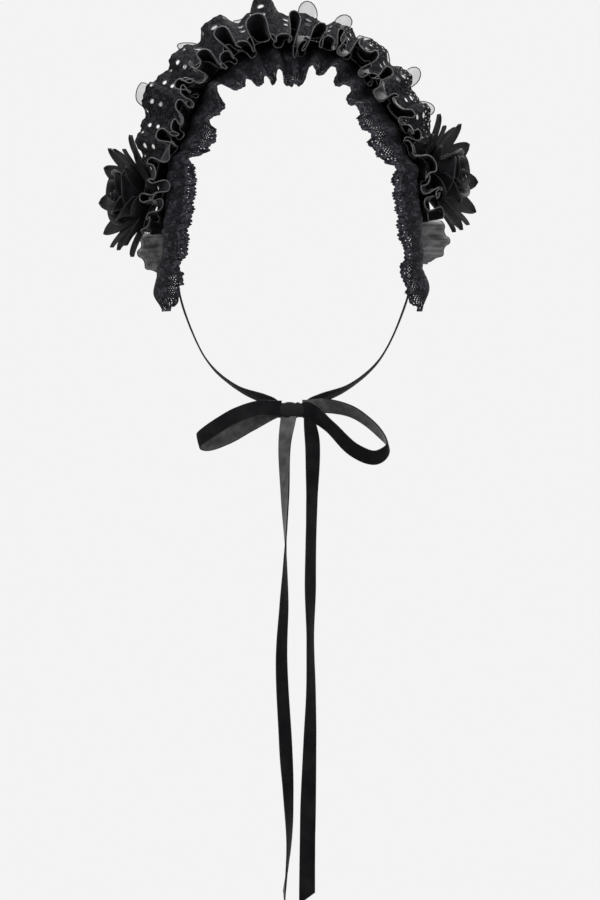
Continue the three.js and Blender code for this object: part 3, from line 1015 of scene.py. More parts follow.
LACE_FOLDS = [
    LaceFold(-0.97, 62, 2, 0.14, 0.3, 0),
    LaceFold(-0.915, 50, 5, 0.5, 0.4, 10),
    LaceFold(-0.85, 34, 6, 0.62, 0.34, 25),
    LaceFold(-0.76, 16, 5, 0.76, 0.1, 42),
    LaceFold(-0.66, 15, 4, 0.8, 0, 46),
    LaceFold(-0.59, 15, 4, 0.84, 0, 40),
    LaceFold(-0.545, 10, 4, 0.86, 0, 34),
    LaceFold(-0.5, 24, 6, 1.0, 0, 25),
    LaceFold(-0.41, 22, 6, 0.96, 0, 12),
    LaceFold(-0.3, 17, 7, 1.0, 0, 8),
    LaceFold(-0.21, 30, 7, 0.97, 0, 6),
    LaceFold(-0.12, 36, 7, 1.0, 0, 6),
    LaceFold(-0.04, 34, 7, 0.95, 0, 6),
    LaceFold(0.03, 44, 7, 1.04, 0, 6),
    LaceFold(0.11, 31, 7, 0.92, 0, 6),
    LaceFold(0.2, 24, 7, 0.94, 0, 6),
    LaceFold(0.29, 25, 6, 1.0, 0, 8),
    LaceFold(0.38, 26, 6, 1.0, 0, 12),
    LaceFold(0.48, 25, 6, 1.0, 0, 25),
    LaceFold(0.54, 23, 5, 0.95, 0, 28),
    LaceFold(0.595, 10, 4, 0.86, 0, 35),
    LaceFold(0.65, 13, 4, 0.82, 0, 38),
    LaceFold(0.74, 14, 4, 0.8, 0.04, 38),
    LaceFold(0.84, 20, 6, 0.66, 0.14, 30),
    LaceFold(0.93, 46, 5, 0.48, 0.26, 12),
    LaceFold(1.0, 62, 2, 0.08, 0.16, 0),
]
FRILL_FOLDS = [
    FrillFold(-1.0, 15, 0.68),
    FrillFold(-0.88, 16, 0.86),
    FrillFold(-0.77, 12, 0.92),
    FrillFold(-0.66, 13, 1.04),
    FrillFold(-0.55, 12.5, 1.0),
    FrillFold(-0.44, 15, 1.02),
    FrillFold(-0.33, 18, 1.0),
    FrillFold(-0.22, 21, 0.92),
    FrillFold(-0.11, 19, 1.0),
    FrillFold(0.0, 23, 0.94),
    FrillFold(0.1, 18, 1.0),
    FrillFold(0.21, 15, 1.02),
    FrillFold(0.32, 15, 1.0),
    FrillFold(0.44, 13, 1.0),
    FrillFold(0.56, 11, 1.04),
    FrillFold(0.68, 9, 0.98),
    FrillFold(0.79, 9, 0.88),
    FrillFold(0.9, 16, 0.8),
    FrillFold(1.0, 15, 0.62),
]
EYELET_FOLDS = [
    StandingFold(-1.0, 64, 3, 0.7),
    StandingFold(-0.86, 42, 6, 0.92),
    StandingFold(-0.7, 24, 8, 1.0),
    StandingFold(-0.54, 12, 8, 1.08),
    StandingFold(-0.38, 24, 9, 0.98),
    StandingFold(-0.24, 26, 13, 0.98),
    StandingFold(-0.07, 30, 20, 0.98),
    StandingFold(0.07, 32, 9, 0.62),
    StandingFold(0.2, 34, 8, 0.64),
    StandingFold(0.34, 32, 9, 0.7),
    StandingFold(0.48, 30, 10, 0.76),
    StandingFold(0.63, 28, 10, 0.8),
    StandingFold(0.76, 30, 8, 0.9),
    StandingFold(0.88, 42, 6, 0.9),
    StandingFold(1.0, 64, 3, 0.7),
]
SHEER_FOLDS = [
    StandingFold(-1.0, 30, 3, 0.42),
    StandingFold(-0.97, 20, 4, 0.72),
    StandingFold(-0.92, 15, 5, 0.84),
    StandingFold(-0.86, 18, 5, 0.8),
    StandingFold(-0.79, 27, 8, 0.7),
    StandingFold(-0.7, 50, 6, 0.7),
    StandingFold(-0.56, 30, 14, 0.9),
    StandingFold(-0.42, 14, 15, 1.19),
    StandingFold(-0.34, 20, 17, 0.95),
    StandingFold(-0.26, 14, 15, 1.16),
    StandingFold(-0.185, 20, 17, 0.95),
    StandingFold(-0.12, 16, 14, 1.12),
    StandingFold(-0.04, 20, 14, 0.8),
    StandingFold(0.06, 20, 16, 0.96),
    StandingFold(0.155, 20, 14, 0.9),
    StandingFold(0.22, 20, 12, 0.86),
    StandingFold(0.3, 20, 12, 0.78),
    StandingFold(0.38, 20, 17, 1.02),
    StandingFold(0.475, 20, 15, 0.92),
    StandingFold(0.59, 30, 13, 0.85),
    StandingFold(0.71, 50, 6, 0.7),
    StandingFold(0.79, 27, 8, 0.68),
    StandingFold(0.86, 18, 5, 0.7),
    StandingFold(0.92, 15, 5, 0.78),
    StandingFold(0.965, 20, 4, 0.66),
    StandingFold(1.0, 30, 3, 0.34),
]


def fold_at(folds: Sequence[Any], at: float) -> tuple[Any, float]:
    """The blend of the two folds round a place, and its phase.

    Args:
        folds: the rows of a table.
        at: the place, as a share of the strip's half length.

    Returns:
        A row between the two, and 2 pi times the folds passed.
    """
    at = clamp(at, folds[0].at, folds[-1].at)
    i = 1
    while i < len(folds) - 1 and folds[i].at < at:
        i += 1
    before, after = folds[i - 1], folds[i]
    share = (at - before.at) / (after.at - before.at)
    blend = smooth(share)
    row = type(before)(*(mix(a, b, blend) for a, b in zip(before, after)))
    return row, 2 * math.pi * (i - 1 + share)


def strip_point(s: float, seat: float, stand: float, length: float, angle: float) -> Vector:
    """A point of a strip that is sewn on at a seat.

    Args:
        s: the length along the crown.
        seat: how far forward the strip is sewn on.
        stand: how far it stands off the band there.
        length: the way from the seam.
        angle: from straight forward to outward.

    Returns:
        The place.
    """
    out = BAND.seam_height(seat) + stand + length * math.sin(angle)
    return CROWN.point(s, seat + length * math.cos(angle), out)


def eased(v: float, start_degrees: float, free: float) -> float:
    """The angle of a strip's run, from level at its seam to its free angle.

    Args:
        v: the share of the way from the seam.
        start_degrees: how far below level it starts.
        free: its angle far from the seam.

    Returns:
        The angle.
    """
    seam_share = (1 - v) ** 3
    return -math.radians(start_degrees) * seam_share + free * (1 - seam_share)


@dataclass(frozen=True)
class FrontLace:
    """Scalloped lace that falls forward and hangs past both ends of the band."""

    half_length: float = 0.224
    width: float = 0.052
    seat: float = 0.0195
    start: float = 16
    curl: float = 0.0016
    scallop: float = 0.0017
    scallop_pitch: float = 0.0058
    calm: float = 0.75
    full_turn: float = 35
    calmed: float = 0.7
    puff_peak: float = 1 / 3
    ripple: float = math.radians(0.9)
    ripple_pitch: float = 0.0095
    drift: float = math.radians(2.5)
    pleat: float = 0.0004
    pleat_pitch: float = 0.0034
    wall: float = 0.0005
    fullness: float = 1.36
    cells: tuple[int, int] = (700, 22)

    def angles(self, s: float) -> tuple[LaceFold, float, float, float]:
        """The lace's angles at a place.

        Args:
            s: the length along the crown.

        Returns:
            The fold there, its phase, its mean angle and its swing.
        """
        fold, phase = fold_at(LACE_FOLDS, s / self.half_length)
        swing = math.radians(fold.swing) * self.calm * (1 - self.calmed * self.turned_in(fold))
        return fold, phase, -math.radians(fold.dip), swing

    def turned_in(self, fold: LaceFold) -> float:
        """How far the lace bulges outward and its edge is turned in, from 0 to 1."""
        return min(1.0, fold.puff / self.full_turn)

    def length_at(self, s: float) -> float:
        """The lace's length from its seam to its scalloped edge.

        Args:
            s: the length along the crown.

        Returns:
            The length, with scallops that are drawn flat in the middle.
        """
        fold = self.angles(s)[0]
        lobe = abs(math.sin(math.pi * s / self.scallop_pitch)) ** 0.55
        drawn = mix(0.35, 1, smooth((abs(s) - 0.05) / 0.04))
        return self.width * fold.reach - self.scallop * drawn * (1 - lobe)

    def puff(self, s: float, length: float) -> float:
        """The extra angle with which the lace bulges outward.

        Args:
            s: the length along the crown.
            length: the way from the lace's seam.

        Returns:
            The angle, which is highest at a third of the way and 0 at the edge.
        """
        fold = self.angles(s)[0]
        v = clamp(length / (self.width * fold.reach), 1e-6, 1.0)
        peak = self.puff_peak**0.5 * (1 - self.puff_peak)
        return math.radians(fold.puff) * v**0.5 * (1 - v) / peak

    def place(self, s: float, v: float) -> Vector:
        """A point of the lace.

        Args:
            s: the length along the crown.
            v: the share of the way from the seam.

        Returns:
            The place.
        """
        fold, phase, mean, swing = self.angles(s)
        loose = v**1.3
        stray = 2.6 * wander(s * 90, 1)
        ripple = self.ripple * loose * math.sin(2 * math.pi * s / self.ripple_pitch + stray)
        drift = self.drift * loose * wander(s * 45, 3)
        puff = self.puff(s, self.width * fold.reach * v)
        wave = 1 - 2 * abs(math.sin(phase / 2)) ** 1.25
        angle = eased(v, self.start, mean + swing * wave) + puff + ripple + drift
        pleat = self.pleat * (1 - v) ** 2 * smooth(v / 0.08)
        pleat *= math.sin(2 * math.pi * s / self.pleat_pitch)
        curled = s + self.curl * (1 - self.calmed * self.turned_in(fold)) * v * math.sin(2 * phase)
        length = self.length_at(s) * v
        return strip_point(curled, self.seat, self.width * fold.stand + pleat, length, angle)

    def build(self) -> bpy.types.Object:
        """Makes the front lace.

        Returns:
            The lace.
        """
        ends = [self.half_length * LACE_FOLDS[i].at for i in (0, -1)]

        def flat(s: float, v: float) -> Vector:
            """The place on the flat lace, from its free edge."""
            return Vector((s * self.fullness, (1 - v) * self.length_at(s), 0))

        us, vs = evenly(*ends, self.cells[0]), evenly(0, 1, self.cells[1])
        lace = cloth_grid("front_lace_cloth", us, vs, self.place, flat)
        give_wall(lace, self.wall)
        wear(lace, "front_lace", "lace", ScallopLace().material("front lace"))
        size = (self.width, (ends[1] - ends[0]) * self.fullness)
        return lace


LACE = FrontLace()


@dataclass(frozen=True)
class SatinFrill:
    """Frill with a rolled hem, sewn over the lace's seam and folded large and small."""

    name: str = "frill"
    half_length: float = 0.166
    width: float = 0.04
    seat: float = 0.011
    seam_share: float = 0.2
    lift: float = 0.0023
    start: float = 6
    curl: float = 0.0022
    clearance: float = 3.2
    small_fold: float = 0.0082
    small_share: float = 0.5
    small_curl: float = 0.0013
    ripple: float = math.radians(7)
    pleat: float = 0.0005
    pleat_pitch: float = 0.0031
    wall: float = 0.0004
    hem: float = 0.00045
    fullness: float = 2.0
    swing: float = 1.0
    unruly: float = 0.0055
    lane: int = 0
    cells: tuple[int, int] = (640, 20)

    def place(self, s: float, v: float) -> Vector:
        """A point of the frill.

        Args:
            s: the length along the crown.
            v: the share of the way from its own stitched edge to its hem.

        Returns:
            The place.
        """
        fold, phase = fold_at(FRILL_FOLDS, s / self.half_length)
        seam = min(1.0, v / self.seam_share)
        seat = mix(self.seat, LACE.seat, seam)
        free = max(0.0, (v - self.seam_share) / (1 - self.seam_share))
        sideways = wander(s * 38, 5) + 0.5 * math.sin(phase / 2 + 1.3 * wander(s * 20, 3))
        along = s + self.curl * free * math.sin(2 * phase) + self.unruly * free * sideways
        lace, _, mean, swing = LACE.angles(along)
        trough = mean + swing + math.radians(self.clearance)
        uneven = 1 + 0.6 * wander(s * 45, 4 + self.lane)
        small = 2 * math.pi * (s / self.small_fold + 0.9 * wander(s * 30, 12 + self.lane))
        tucks = self.small_share * free * (1 + math.cos(small))
        broad = (1 + math.cos(phase)) * uneven * (1 - self.small_share)
        wave = math.radians(fold.swing) * self.swing * (broad + tucks)
        along += self.small_curl * free * math.sin(2 * small)
        length = self.width * fold.reach * free
        ripple = self.ripple * free * wander(s * 110, 6 + self.lane)
        pleat = self.pleat * (1 - free) ** 2 * smooth(free / 0.12)
        pleat *= math.sin(2 * math.pi * s / self.pleat_pitch)
        lip = 1 + 0.05 * wander(s * 50, 7 + self.lane)
        angle = eased(free, self.start, trough + wave) + LACE.puff(along, length) + ripple
        stand = (self.lift + LACE.width * lace.stand) * seam + pleat
        return strip_point(along, seat, stand, length * lip, angle)

    def build(self, satin: bpy.types.Material, rolled: bpy.types.Material) -> bpy.types.Object:
        """Makes the frill and its hem.

        Args:
            satin: the cloth's material.
            rolled: the hem's material.

        Returns:
            The frill.
        """
        us = evenly(-self.half_length, self.half_length, self.cells[0])
        header = self.width * self.seam_share

        def flat(s: float, v: float) -> Vector:
            """The place on the flat cloth."""
            return Vector((s * self.fullness, v * (self.width + header), 0))

        frill = cloth_grid(f"{self.name}_cloth", us, evenly(0, 1, self.cells[1]), self.place, flat)
        give_wall(frill, self.wall)
        wear(frill, "satin_frill", "satin", satin)
        edge = thread_mesh(f"{self.name}_hem", [[self.place(s, 1) for s in us]], self.hem, closed=False)
        wear(edge, "satin_frill", "satin", rolled)
        size = (self.width + header, 2 * self.half_length * self.fullness)
        return frill


@dataclass(frozen=True)
class EyeletLace:
    """Lace with stitched eyelets that stands up behind."""

    half_length: float = 0.15
    width: float = 0.031
    seat: float = -0.008
    pitch: float = 0.012
    eyelet: float = 0.003
    row_heights: tuple[float, float] = (0.0174, 0.0234)
    edge_row_height: float = 0.0272
    hole_share: float = 0.46
    edge_hole_share: float = 0.3
    curl: float = 0.0008
    ripple: float = math.radians(4)
    ripple_pitch: float = 0.0095
    pleat: float = 0.0005
    pleat_pitch: float = 0.0036
    picot: float = 0.0007
    wall: float = 0.0006
    rim: float = 0.00038
    rim_corners: int = 16
    cells: int = 4
    blend: float = 0.0011
    fullness: float = 1.25

    @property
    def step(self) -> float:
        """The size of the grid's cells."""
        return self.eyelet / self.cells

    def angle(self, s: float) -> tuple[StandingFold, float, float]:
        """The lace's angle at a place.

        Args:
            s: the length along the crown.

        Returns:
            The fold there, its phase and its angle from straight forward.
        """
        fold, phase = fold_at(EYELET_FOLDS, s / self.half_length)
        return fold, phase, math.radians(90 + fold.lean - fold.swing * math.cos(phase))

    @cached_property
    def holes(self) -> list[tuple[float, float, float]]:
        """The eyelets, pitch by pitch along the lace.

        Returns:
            Each one's place along and up the flat lace, and its radius.
        """
        pitches = round(2 * self.half_length / self.pitch)
        radius, edge_radius = self.eyelet * self.hole_share, self.eyelet * self.edge_hole_share
        edge_row = self.edge_row_height + self.eyelet / 2
        found = []
        for i in range(pitches):
            middle = -self.half_length + (i + 0.5) * self.pitch
            found += [(middle, low + self.eyelet / 2, radius) for low in self.row_heights]
            if i < pitches - 1:
                found.append((middle + self.pitch / 2, edge_row, edge_radius))
        return found

    def near_hole(self, s: float, up: float) -> tuple[float, float, float] | None:
        """The eyelet whose square, or the blend round it, holds a place.

        Args:
            s: the place along the flat lace.
            up: the place from its seam.

        Returns:
            The eyelet's place and radius, or None.
        """
        reach = self.eyelet / 2 + self.blend
        column = (s + self.half_length) / self.pitch
        to_a_pitch = len(self.row_heights) + 1
        first = max(0, int(column - 1) * to_a_pitch)
        for hole in self.holes[first : first + 4 * to_a_pitch]:
            if max(abs(s - hole[0]), abs(up - hole[1])) < reach - 1e-7:
                return hole
        return None

    def rounded(self, s: float, up: float) -> tuple[float, float]:
        """Moves a place on the flat lace so that the square eyelets become round.

        Args:
            s: the place along it.
            up: the place from its seam.

        Returns:
            The moved place.
        """
        hole = self.near_hole(s, up)
        if hole is None:
            return s, up
        ds, du = s - hole[0], up - hole[1]
        distance = math.hypot(ds, du)
        if distance < 1e-6:
            return s, up
        share = smooth((max(abs(ds), abs(du)) - self.eyelet / 2) / self.blend)
        scale = mix(hole[2] / distance, 1, share)
        return hole[0] + ds * scale, hole[1] + du * scale

    def surface(self, s: float, up: float) -> Vector:
        """A point of the lace.

        Args:
            s: the place along the flat lace.
            up: the place from its seam.

        Returns:
            The place.
        """
        v = up / self.width
        fold, phase, angle = self.angle(s)
        stray = 2 * wander(s * 80, 8)
        ripple = self.ripple * v * math.sin(2 * math.pi * s / self.ripple_pitch + stray)
        pleat = self.pleat * (1 - v) ** 2 * math.sin(2 * math.pi * s / self.pleat_pitch)
        picot = self.picot * smooth((v - 0.85) / 0.15) * math.sin(math.pi * s / (self.pitch / 4)) ** 2
        curled = s + self.curl * v * math.sin(2 * phase)
        length = self.width * fold.reach * v + picot
        return strip_point(curled, self.seat + pleat, 0, length, angle + ripple)

    def cut_eyelets(self, lace: bpy.types.Object) -> None:
        """Deletes the cells inside the eyelets.

        Args:
            lace: the lace, still a grid of cells.
        """
        only(lace)
        bpy.ops.object.mode_set(mode="EDIT")
        bpy.ops.mesh.select_all(action="DESELECT")
        bpy.ops.object.mode_set(mode="OBJECT")
        layer = lace.data.uv_layers[0].data
        for face in lace.data.polygons:
            corners = [layer[i].uv for i in face.loop_indices]
            s = sum(c[0] for c in corners) / len(corners) / self.fullness
            up = sum(c[1] for c in corners) / len(corners)
            hole = self.near_hole(s, up)
            face.select = hole is not None and max(abs(s - hole[0]), abs(up - hole[1])) < self.eyelet / 2
        bpy.ops.object.mode_set(mode="EDIT")
        bpy.ops.mesh.delete(type="FACE")
        bpy.ops.object.mode_set(mode="OBJECT")

    def build(self) -> bpy.types.Object:
        """Makes the eyelet lace and its stitched rims.

        Returns:
            The lace.
        """
        columns = round(2 * self.half_length / self.step)
        us = evenly(-self.half_length, self.half_length, columns)
        foot = self.row_heights[0] % self.step
        rows = int((self.width - foot) / self.step)
        vs = [0.0, *(foot + self.step * i for i in range(rows)), self.width]

        def flat(s: float, up: float) -> Vector:
            """The place on the flat lace."""
            return Vector((s * self.fullness, up, 0))

        lace = cloth_grid("eyelet_cloth", us, vs, lambda s, up: self.surface(*self.rounded(s, up)), flat)
        self.cut_eyelets(lace)
        give_wall(lace, self.wall)
        wear(lace, "eyelet_lace", "eyelet", EyeletCloth().material("eyelet lace"))
        turns = [2 * math.pi * i / self.rim_corners for i in range(self.rim_corners)]
        rings = [
            [self.surface(s + radius * math.cos(t), up + radius * math.sin(t)) for t in turns]
            for s, up, radius in self.holes
        ]
        rims = thread_mesh("eyelet_rims", rings, self.rim, closed=True)
        wear(rims, "eyelet_lace", "eyelet", ThreadFinish().material("stitched rims"))
        return lace


EYELETS = EyeletLace()


@dataclass(frozen=True)
class SheerFrill:
    """Organza frill with a cord hem behind the eyelet lace."""

    half_length: float = 0.19
    width: float = 0.035
    seat: float = -0.018
    curl: float = 0.0016
    clearance: float = 5
    free_after: float = 0.014
    end_calm: float = 0.25
    ripple: float = math.radians(3)
    pleat: float = 0.0005
    pleat_pitch: float = 0.0042
    wall: float = 0.0002
    hem: float = 0.00038
    fullness: float = 1.7
    cells: tuple[int, int] = (480, 14)

    def place(self, s: float, v: float) -> Vector:
        """A point of the frill. It stays behind the eyelet lace and is freer past its ends.

        Args:
            s: the length along the crown.
            v: the share of the way from the seam.

        Returns:
            The place.
        """
        fold, phase = fold_at(SHEER_FOLDS, s / self.half_length)
        covered = clamp(1 - (abs(s) - EYELETS.half_length) / self.free_after)
        along = s + self.curl * mix(self.end_calm, 1, covered) * v * math.sin(2 * phase)
        free = math.radians(90 + fold.lean)
        behind = EYELETS.angle(along)[2] + math.radians(self.clearance)
        wave = math.radians(fold.swing) * (1 - math.cos(phase))
        ripple = self.ripple * covered * v * wander(s * 90, 9)
        angle = free + max(0.0, behind - free) * covered + wave + ripple
        lip = 1 + 0.04 * covered * wander(s * 60, 10)
        pleat = self.pleat * (1 - v) ** 2 * math.sin(2 * math.pi * s / self.pleat_pitch)
        return strip_point(along, self.seat + pleat, 0, self.width * fold.reach * v * lip, angle)

    def build(self) -> bpy.types.Object:
        """Makes the organza and its hem.

        Returns:
            The frill.
        """
        us = evenly(-self.half_length, self.half_length, self.cells[0])

        def flat(s: float, v: float) -> Vector:
            """The place on the flat cloth."""
            return Vector((s * self.fullness, v * self.width, 0))

        frill = cloth_grid("organza_cloth", us, evenly(0, 1, self.cells[1]), self.place, flat)
        give_wall(frill, self.wall)
        wear(frill, "sheer_frill", "organza", Organza().material("organza"))
        edge = thread_mesh("organza_hem", [[self.place(s, 1) for s in us]], self.hem, closed=False)
        wear(edge, "sheer_frill", "organza", ThreadFinish(rough=0.5).material("cord hem"))
        return frill


# Flowers


@dataclass(frozen=True)
class Petal:
    """The shape of one petal, whose foot is at the flower's axis and whose tip points along +X."""

    base: float
    reach: float
    rise: float
    half_width: float
    tip_curl: float
    flare: float = 1.1
    hub: float = 0.0025
    foot_share: float = 0.2
    tip_share: float = 0.02
    cup: float = 0.0024
    crease: float = 0.0007
    crease_share: float = 0.16

    def place(self, u: float, v: float) -> Vector:
        """A point of the petal.

        Args:
            u: how far across it, from -1 to 1.
            v: how far from its foot to its tip.

        Returns:
            The place, with the flower's axis along +Z.
        """
        swell = math.sin(math.pi * clamp(v)) ** 0.6
        taper = swell if v > 0.5 else mix(self.foot_share, 1.0, swell)
        side = self.half_width * max(taper, self.tip_share) * u
        radius = self.hub + (self.reach - self.hub) * v
        bowl = (radius / self.reach) ** self.flare
        up = self.base + self.rise * bowl + self.cup * u * u * v
        up -= self.crease * math.exp(-((u / self.crease_share) ** 2)) * math.sin(math.pi * v)
        up += self.tip_curl * v**5
        return Vector((radius, side, up))


@dataclass(frozen=True)
class RosePetal:
    """A broad petal that is wrapped round the flower's axis."""

    base: float
    radius: float
    rise: float
    half_turn: float
    lip: float
    spiral: float = 0.0012
    upright_to: float = 0.72
    foot_share: float = 0.14

    def place(self, u: float, v: float) -> Vector:
        """A point of the petal.

        Args:
            u: how far across it, from -1 to 1.
            v: how far from its foot to its rolled rim.

        Returns:
            The place, with the flower's axis along +Z.
        """
        bowl = math.sin(math.pi / 2 * min(1.0, v / self.upright_to)) ** 0.9
        spread = self.radius * mix(self.foot_share, 1, bowl) + self.spiral * u
        rim = max(0.0, (v - self.upright_to) / (1 - self.upright_to))
        spread += self.lip * rim**1.5 * (1 + 0.5 * u * u)
        up = self.base + self.rise * (v**1.15) - self.lip * 0.9 * rim**3
        up -= self.rise * 0.22 * abs(u) ** 3 * v
        turn = self.half_turn * u * (0.5 + 0.5 * smooth(v / 0.5))
        return Vector((spread * math.cos(turn), spread * math.sin(turn), up))


@dataclass(frozen=True)
class Flower:
    """A cloth flower near one end of the band: pad, two rings of pointed petals and a rose."""

    side: Side
    before_end: float
    lift: float
    turn: float = math.radians(20)
    pad_radius: float = 0.005
    pad_flare: float = 0.0075
    pad_round: float = 0.0008
    pad_sink: float = 0.0003
    pad_corners: int = 40
    pad_crease: float = math.radians(50)
    leaf_count: int = 9
    leaf_reach: float = 0.04
    leaf_rise: float = 0.024
    leaf_half_width: float = 0.0092
    rose_radius: float = 0.0165
    rose_height: float = 0.028
    rose_base: float = 0.0055
    petal_wall: float = 0.0005
    print_half_width: float = 0.008
    leaf_cells: tuple[int, int] = (8, 18)
    rose_cells: tuple[int, int] = (16, 16)
    bud_turns: float = 2.4
    bud_wall: float = 0.0006
    bud_lip: float = 0.0011
    bud_print: tuple[float, float] = (0.06, 0.02)
    bud_cells: tuple[int, int] = (72, 14)

    @property
    def at(self) -> float:
        """The flower's place along the crown."""
        return self.side.value * (EYELETS.half_length - self.before_end)

    @property
    def foot(self) -> Vector:
        """Where the flower stands on the crown's line."""
        return CROWN.point(self.at, 0, 0)

    @property
    def seat(self) -> Vector:
        """The flower's underside."""
        return CROWN.point(self.at, 0, self.lift)

    @property
    def outward(self) -> Vector:
        """The direction out from the crown."""
        return (self.seat - self.foot).normalized()

    @property
    def axis(self) -> Vector:
        """The direction that the flower faces."""
        return self.outward * math.cos(self.turn) + FRONT * math.sin(self.turn)

    @property
    def stand(self) -> Matrix:
        """Takes a flower along +Z to its place."""
        return Matrix.Translation(self.seat) @ UP.rotation_difference(self.axis).to_matrix().to_4x4()

    def ring(
        self,
        name: str,
        petal: Petal | RosePetal,
        count: int,
        first: float,
        loose: float,
        cells: tuple[int, int],
    ) -> bpy.types.Object:
        """A ring of petals, each a little unlike the next.

        Args:
            name: the piece's name.
            petal: the shape of one petal.
            count: how many there are.
            first: the first one's angle.
            loose: how far each may lean, in radians.
            cells: how many cells a petal has across and along.

        Returns:
            The ring, in place.
        """
        dice = random.Random(name)

        def flat(u: float, v: float) -> Vector:
            """The place on the flat petal."""
            return Vector((v * self.leaf_reach, u * self.print_half_width, 0))

        master = cloth_grid(name, evenly(-1, 1, cells[0]), evenly(0, 1, cells[1]), petal.place, flat)
        give_wall(master, self.petal_wall)
        petals = []
        for i in range(count):
            lean = Matrix.Rotation(dice.uniform(-loose, loose), 4, "Y")
            roll = Matrix.Rotation(dice.uniform(-loose, loose) * 2, 4, "X")
            spin = Matrix.Rotation(first + 2 * math.pi * i / count + dice.uniform(-0.05, 0.05), 4, "Z")
            petals.append(copy_turned(master, self.stand @ spin @ lean @ roll))
        only(master)
        bpy.ops.object.delete()
        return joined(name, petals)

    def build_pad(self, finish: bpy.types.Material) -> bpy.types.Object:
        """Makes the felt pad between the band and the petals.

        Args:
            finish: its material.

        Returns:
            The pad.
        """
        low = self.foot + self.outward * (BAND.wall + BAND.seam_gap - CROWN.fall(-self.pad_flare))
        high = self.seat + self.axis * self.pad_sink
        only()
        bpy.ops.mesh.primitive_cone_add(
            vertices=self.pad_corners,
            radius1=self.pad_flare,
            radius2=self.pad_radius,
            depth=(high - low).length,
        )
        pad = name_it(bpy.context.active_object, f"felt_pad_{self.side.word}")
        for vertex in pad.data.vertices:
            top = vertex.co.z > 0
            facing = UP.rotation_difference(self.axis if top else self.outward)
            vertex.co = (high if top else low) + facing @ Vector((vertex.co.x, vertex.co.y, 0))
        only(pad)
        bpy.ops.object.modifier_add(type="BEVEL")
        pad.modifiers[-1].width = self.pad_round
        pad.modifiers[-1].segments = 3
        apply_last(pad)
        bpy.ops.object.shade_smooth_by_angle(angle=self.pad_crease)
        return wear(pad, f"calyx_{self.side.word}", "cloth", finish)

    def build_bud(self, finish: bpy.types.Material) -> bpy.types.Object:
        """Makes the rolled heart of the rose.

        Args:
            finish: its material.

        Returns:
            The heart.
        """
        foot, top = 0.39 * self.rose_height, 1.26 * self.rose_height

        def place(u: float, v: float) -> Vector:
            """A point of the rolled strip.

            Args:
                u: how far along it, from its inner end to its outer one.
                v: how far from its foot to its lip.

            Returns:
                The place.
            """
            turn = 2 * math.pi * self.bud_turns * u
            belly = 0.3 + 0.7 * math.sin(math.pi * (0.12 + 0.62 * v))
            radius = self.rose_radius * mix(0.05, 0.27, u) * belly
            radius += self.bud_lip * max(0.0, v - 0.8) / 0.2 * u
            up = mix(foot, top, v) - self.rose_height * 0.2 * u * v
            return self.stand @ Vector((radius * math.cos(turn), radius * math.sin(turn), up))

        def flat(u: float, v: float) -> Vector:
            """The place on the flat strip."""
            return Vector((u * self.bud_print[0], v * self.bud_print[1], 0))

        name = f"rose_heart_{self.side.word}"
        us, vs = (evenly(0, 1, cells) for cells in self.bud_cells)
        heart = cloth_grid(name, us, vs, place, flat)
        give_wall(heart, self.bud_wall)
        return wear(heart, f"rose_bud_{self.side.word}", "rose", finish)

    def build(
        self, felt: bpy.types.Material, petal_cloth: bpy.types.Material, satin: bpy.types.Material
    ) -> None:
        """Makes the flower.

        Args:
            felt: the pad's material.
            petal_cloth: the pointed petals' material.
            satin: the rose's material.
        """
        word = self.side.word
        step = 2 * math.pi / self.leaf_count
        self.build_pad(felt)
        reach, rise, half_width = self.leaf_reach, self.leaf_rise, self.leaf_half_width
        outer = Petal(0, reach, rise, half_width, tip_curl=-0.003)
        inner = Petal(0.001, 0.88 * reach, 1.2 * rise, 0.94 * half_width, tip_curl=-0.002)
        leaves = self.ring(f"outer_petals_{word}", outer, self.leaf_count, 0.25 * step, 0.07, self.leaf_cells)
        wear(leaves, f"outer_leaves_{word}", "petal", petal_cloth)
        leaves = self.ring(f"inner_petals_{word}", inner, self.leaf_count, 0.75 * step, 0.06, self.leaf_cells)
        wear(leaves, f"inner_leaves_{word}", "petal", petal_cloth)
        broad = RosePetal(self.rose_base, self.rose_radius * 0.9, self.rose_height, math.radians(50), 0.0026)
        inward = self.rose_base + 0.003
        small = RosePetal(inward, 0.6 * self.rose_radius, 0.92 * self.rose_height, math.radians(62), 0.0018)
        petals = self.ring(f"rose_outer_petals_{word}", broad, 5, 0.3, 0.06, self.rose_cells)
        wear(petals, f"rose_outer_{word}", "rose", satin)
        petals = self.ring(f"rose_inner_petals_{word}", small, 4, 0.9, 0.05, self.rose_cells)
        wear(petals, f"rose_inner_{word}", "rose", satin)
        self.build_bud(satin)


# Ribbon, bow and tails


class Station(NamedTuple):
    """A place on a ribbon's line, and the way its velvet face looks."""

    place: Vector
    face: Vector


class StrapStep(NamedTuple):
    """A step of the way from the band's end (0) to the knot (1)."""

    across: float
    forward: float
    drop: float
    out: float
    front: float
    down: float


class LoopStep(NamedTuple):
    """A step of a bow's loop, in shares of its reach from the knot's centre."""

    out: float
    front: float
    up: float
    face_out: float
    face_front: float
    face_up: float


class TailStep(NamedTuple):
    """A step of a tail. turn is 0 degrees where the velvet faces forward."""

    down: float
    aside: float
    forward: float
    turn: float


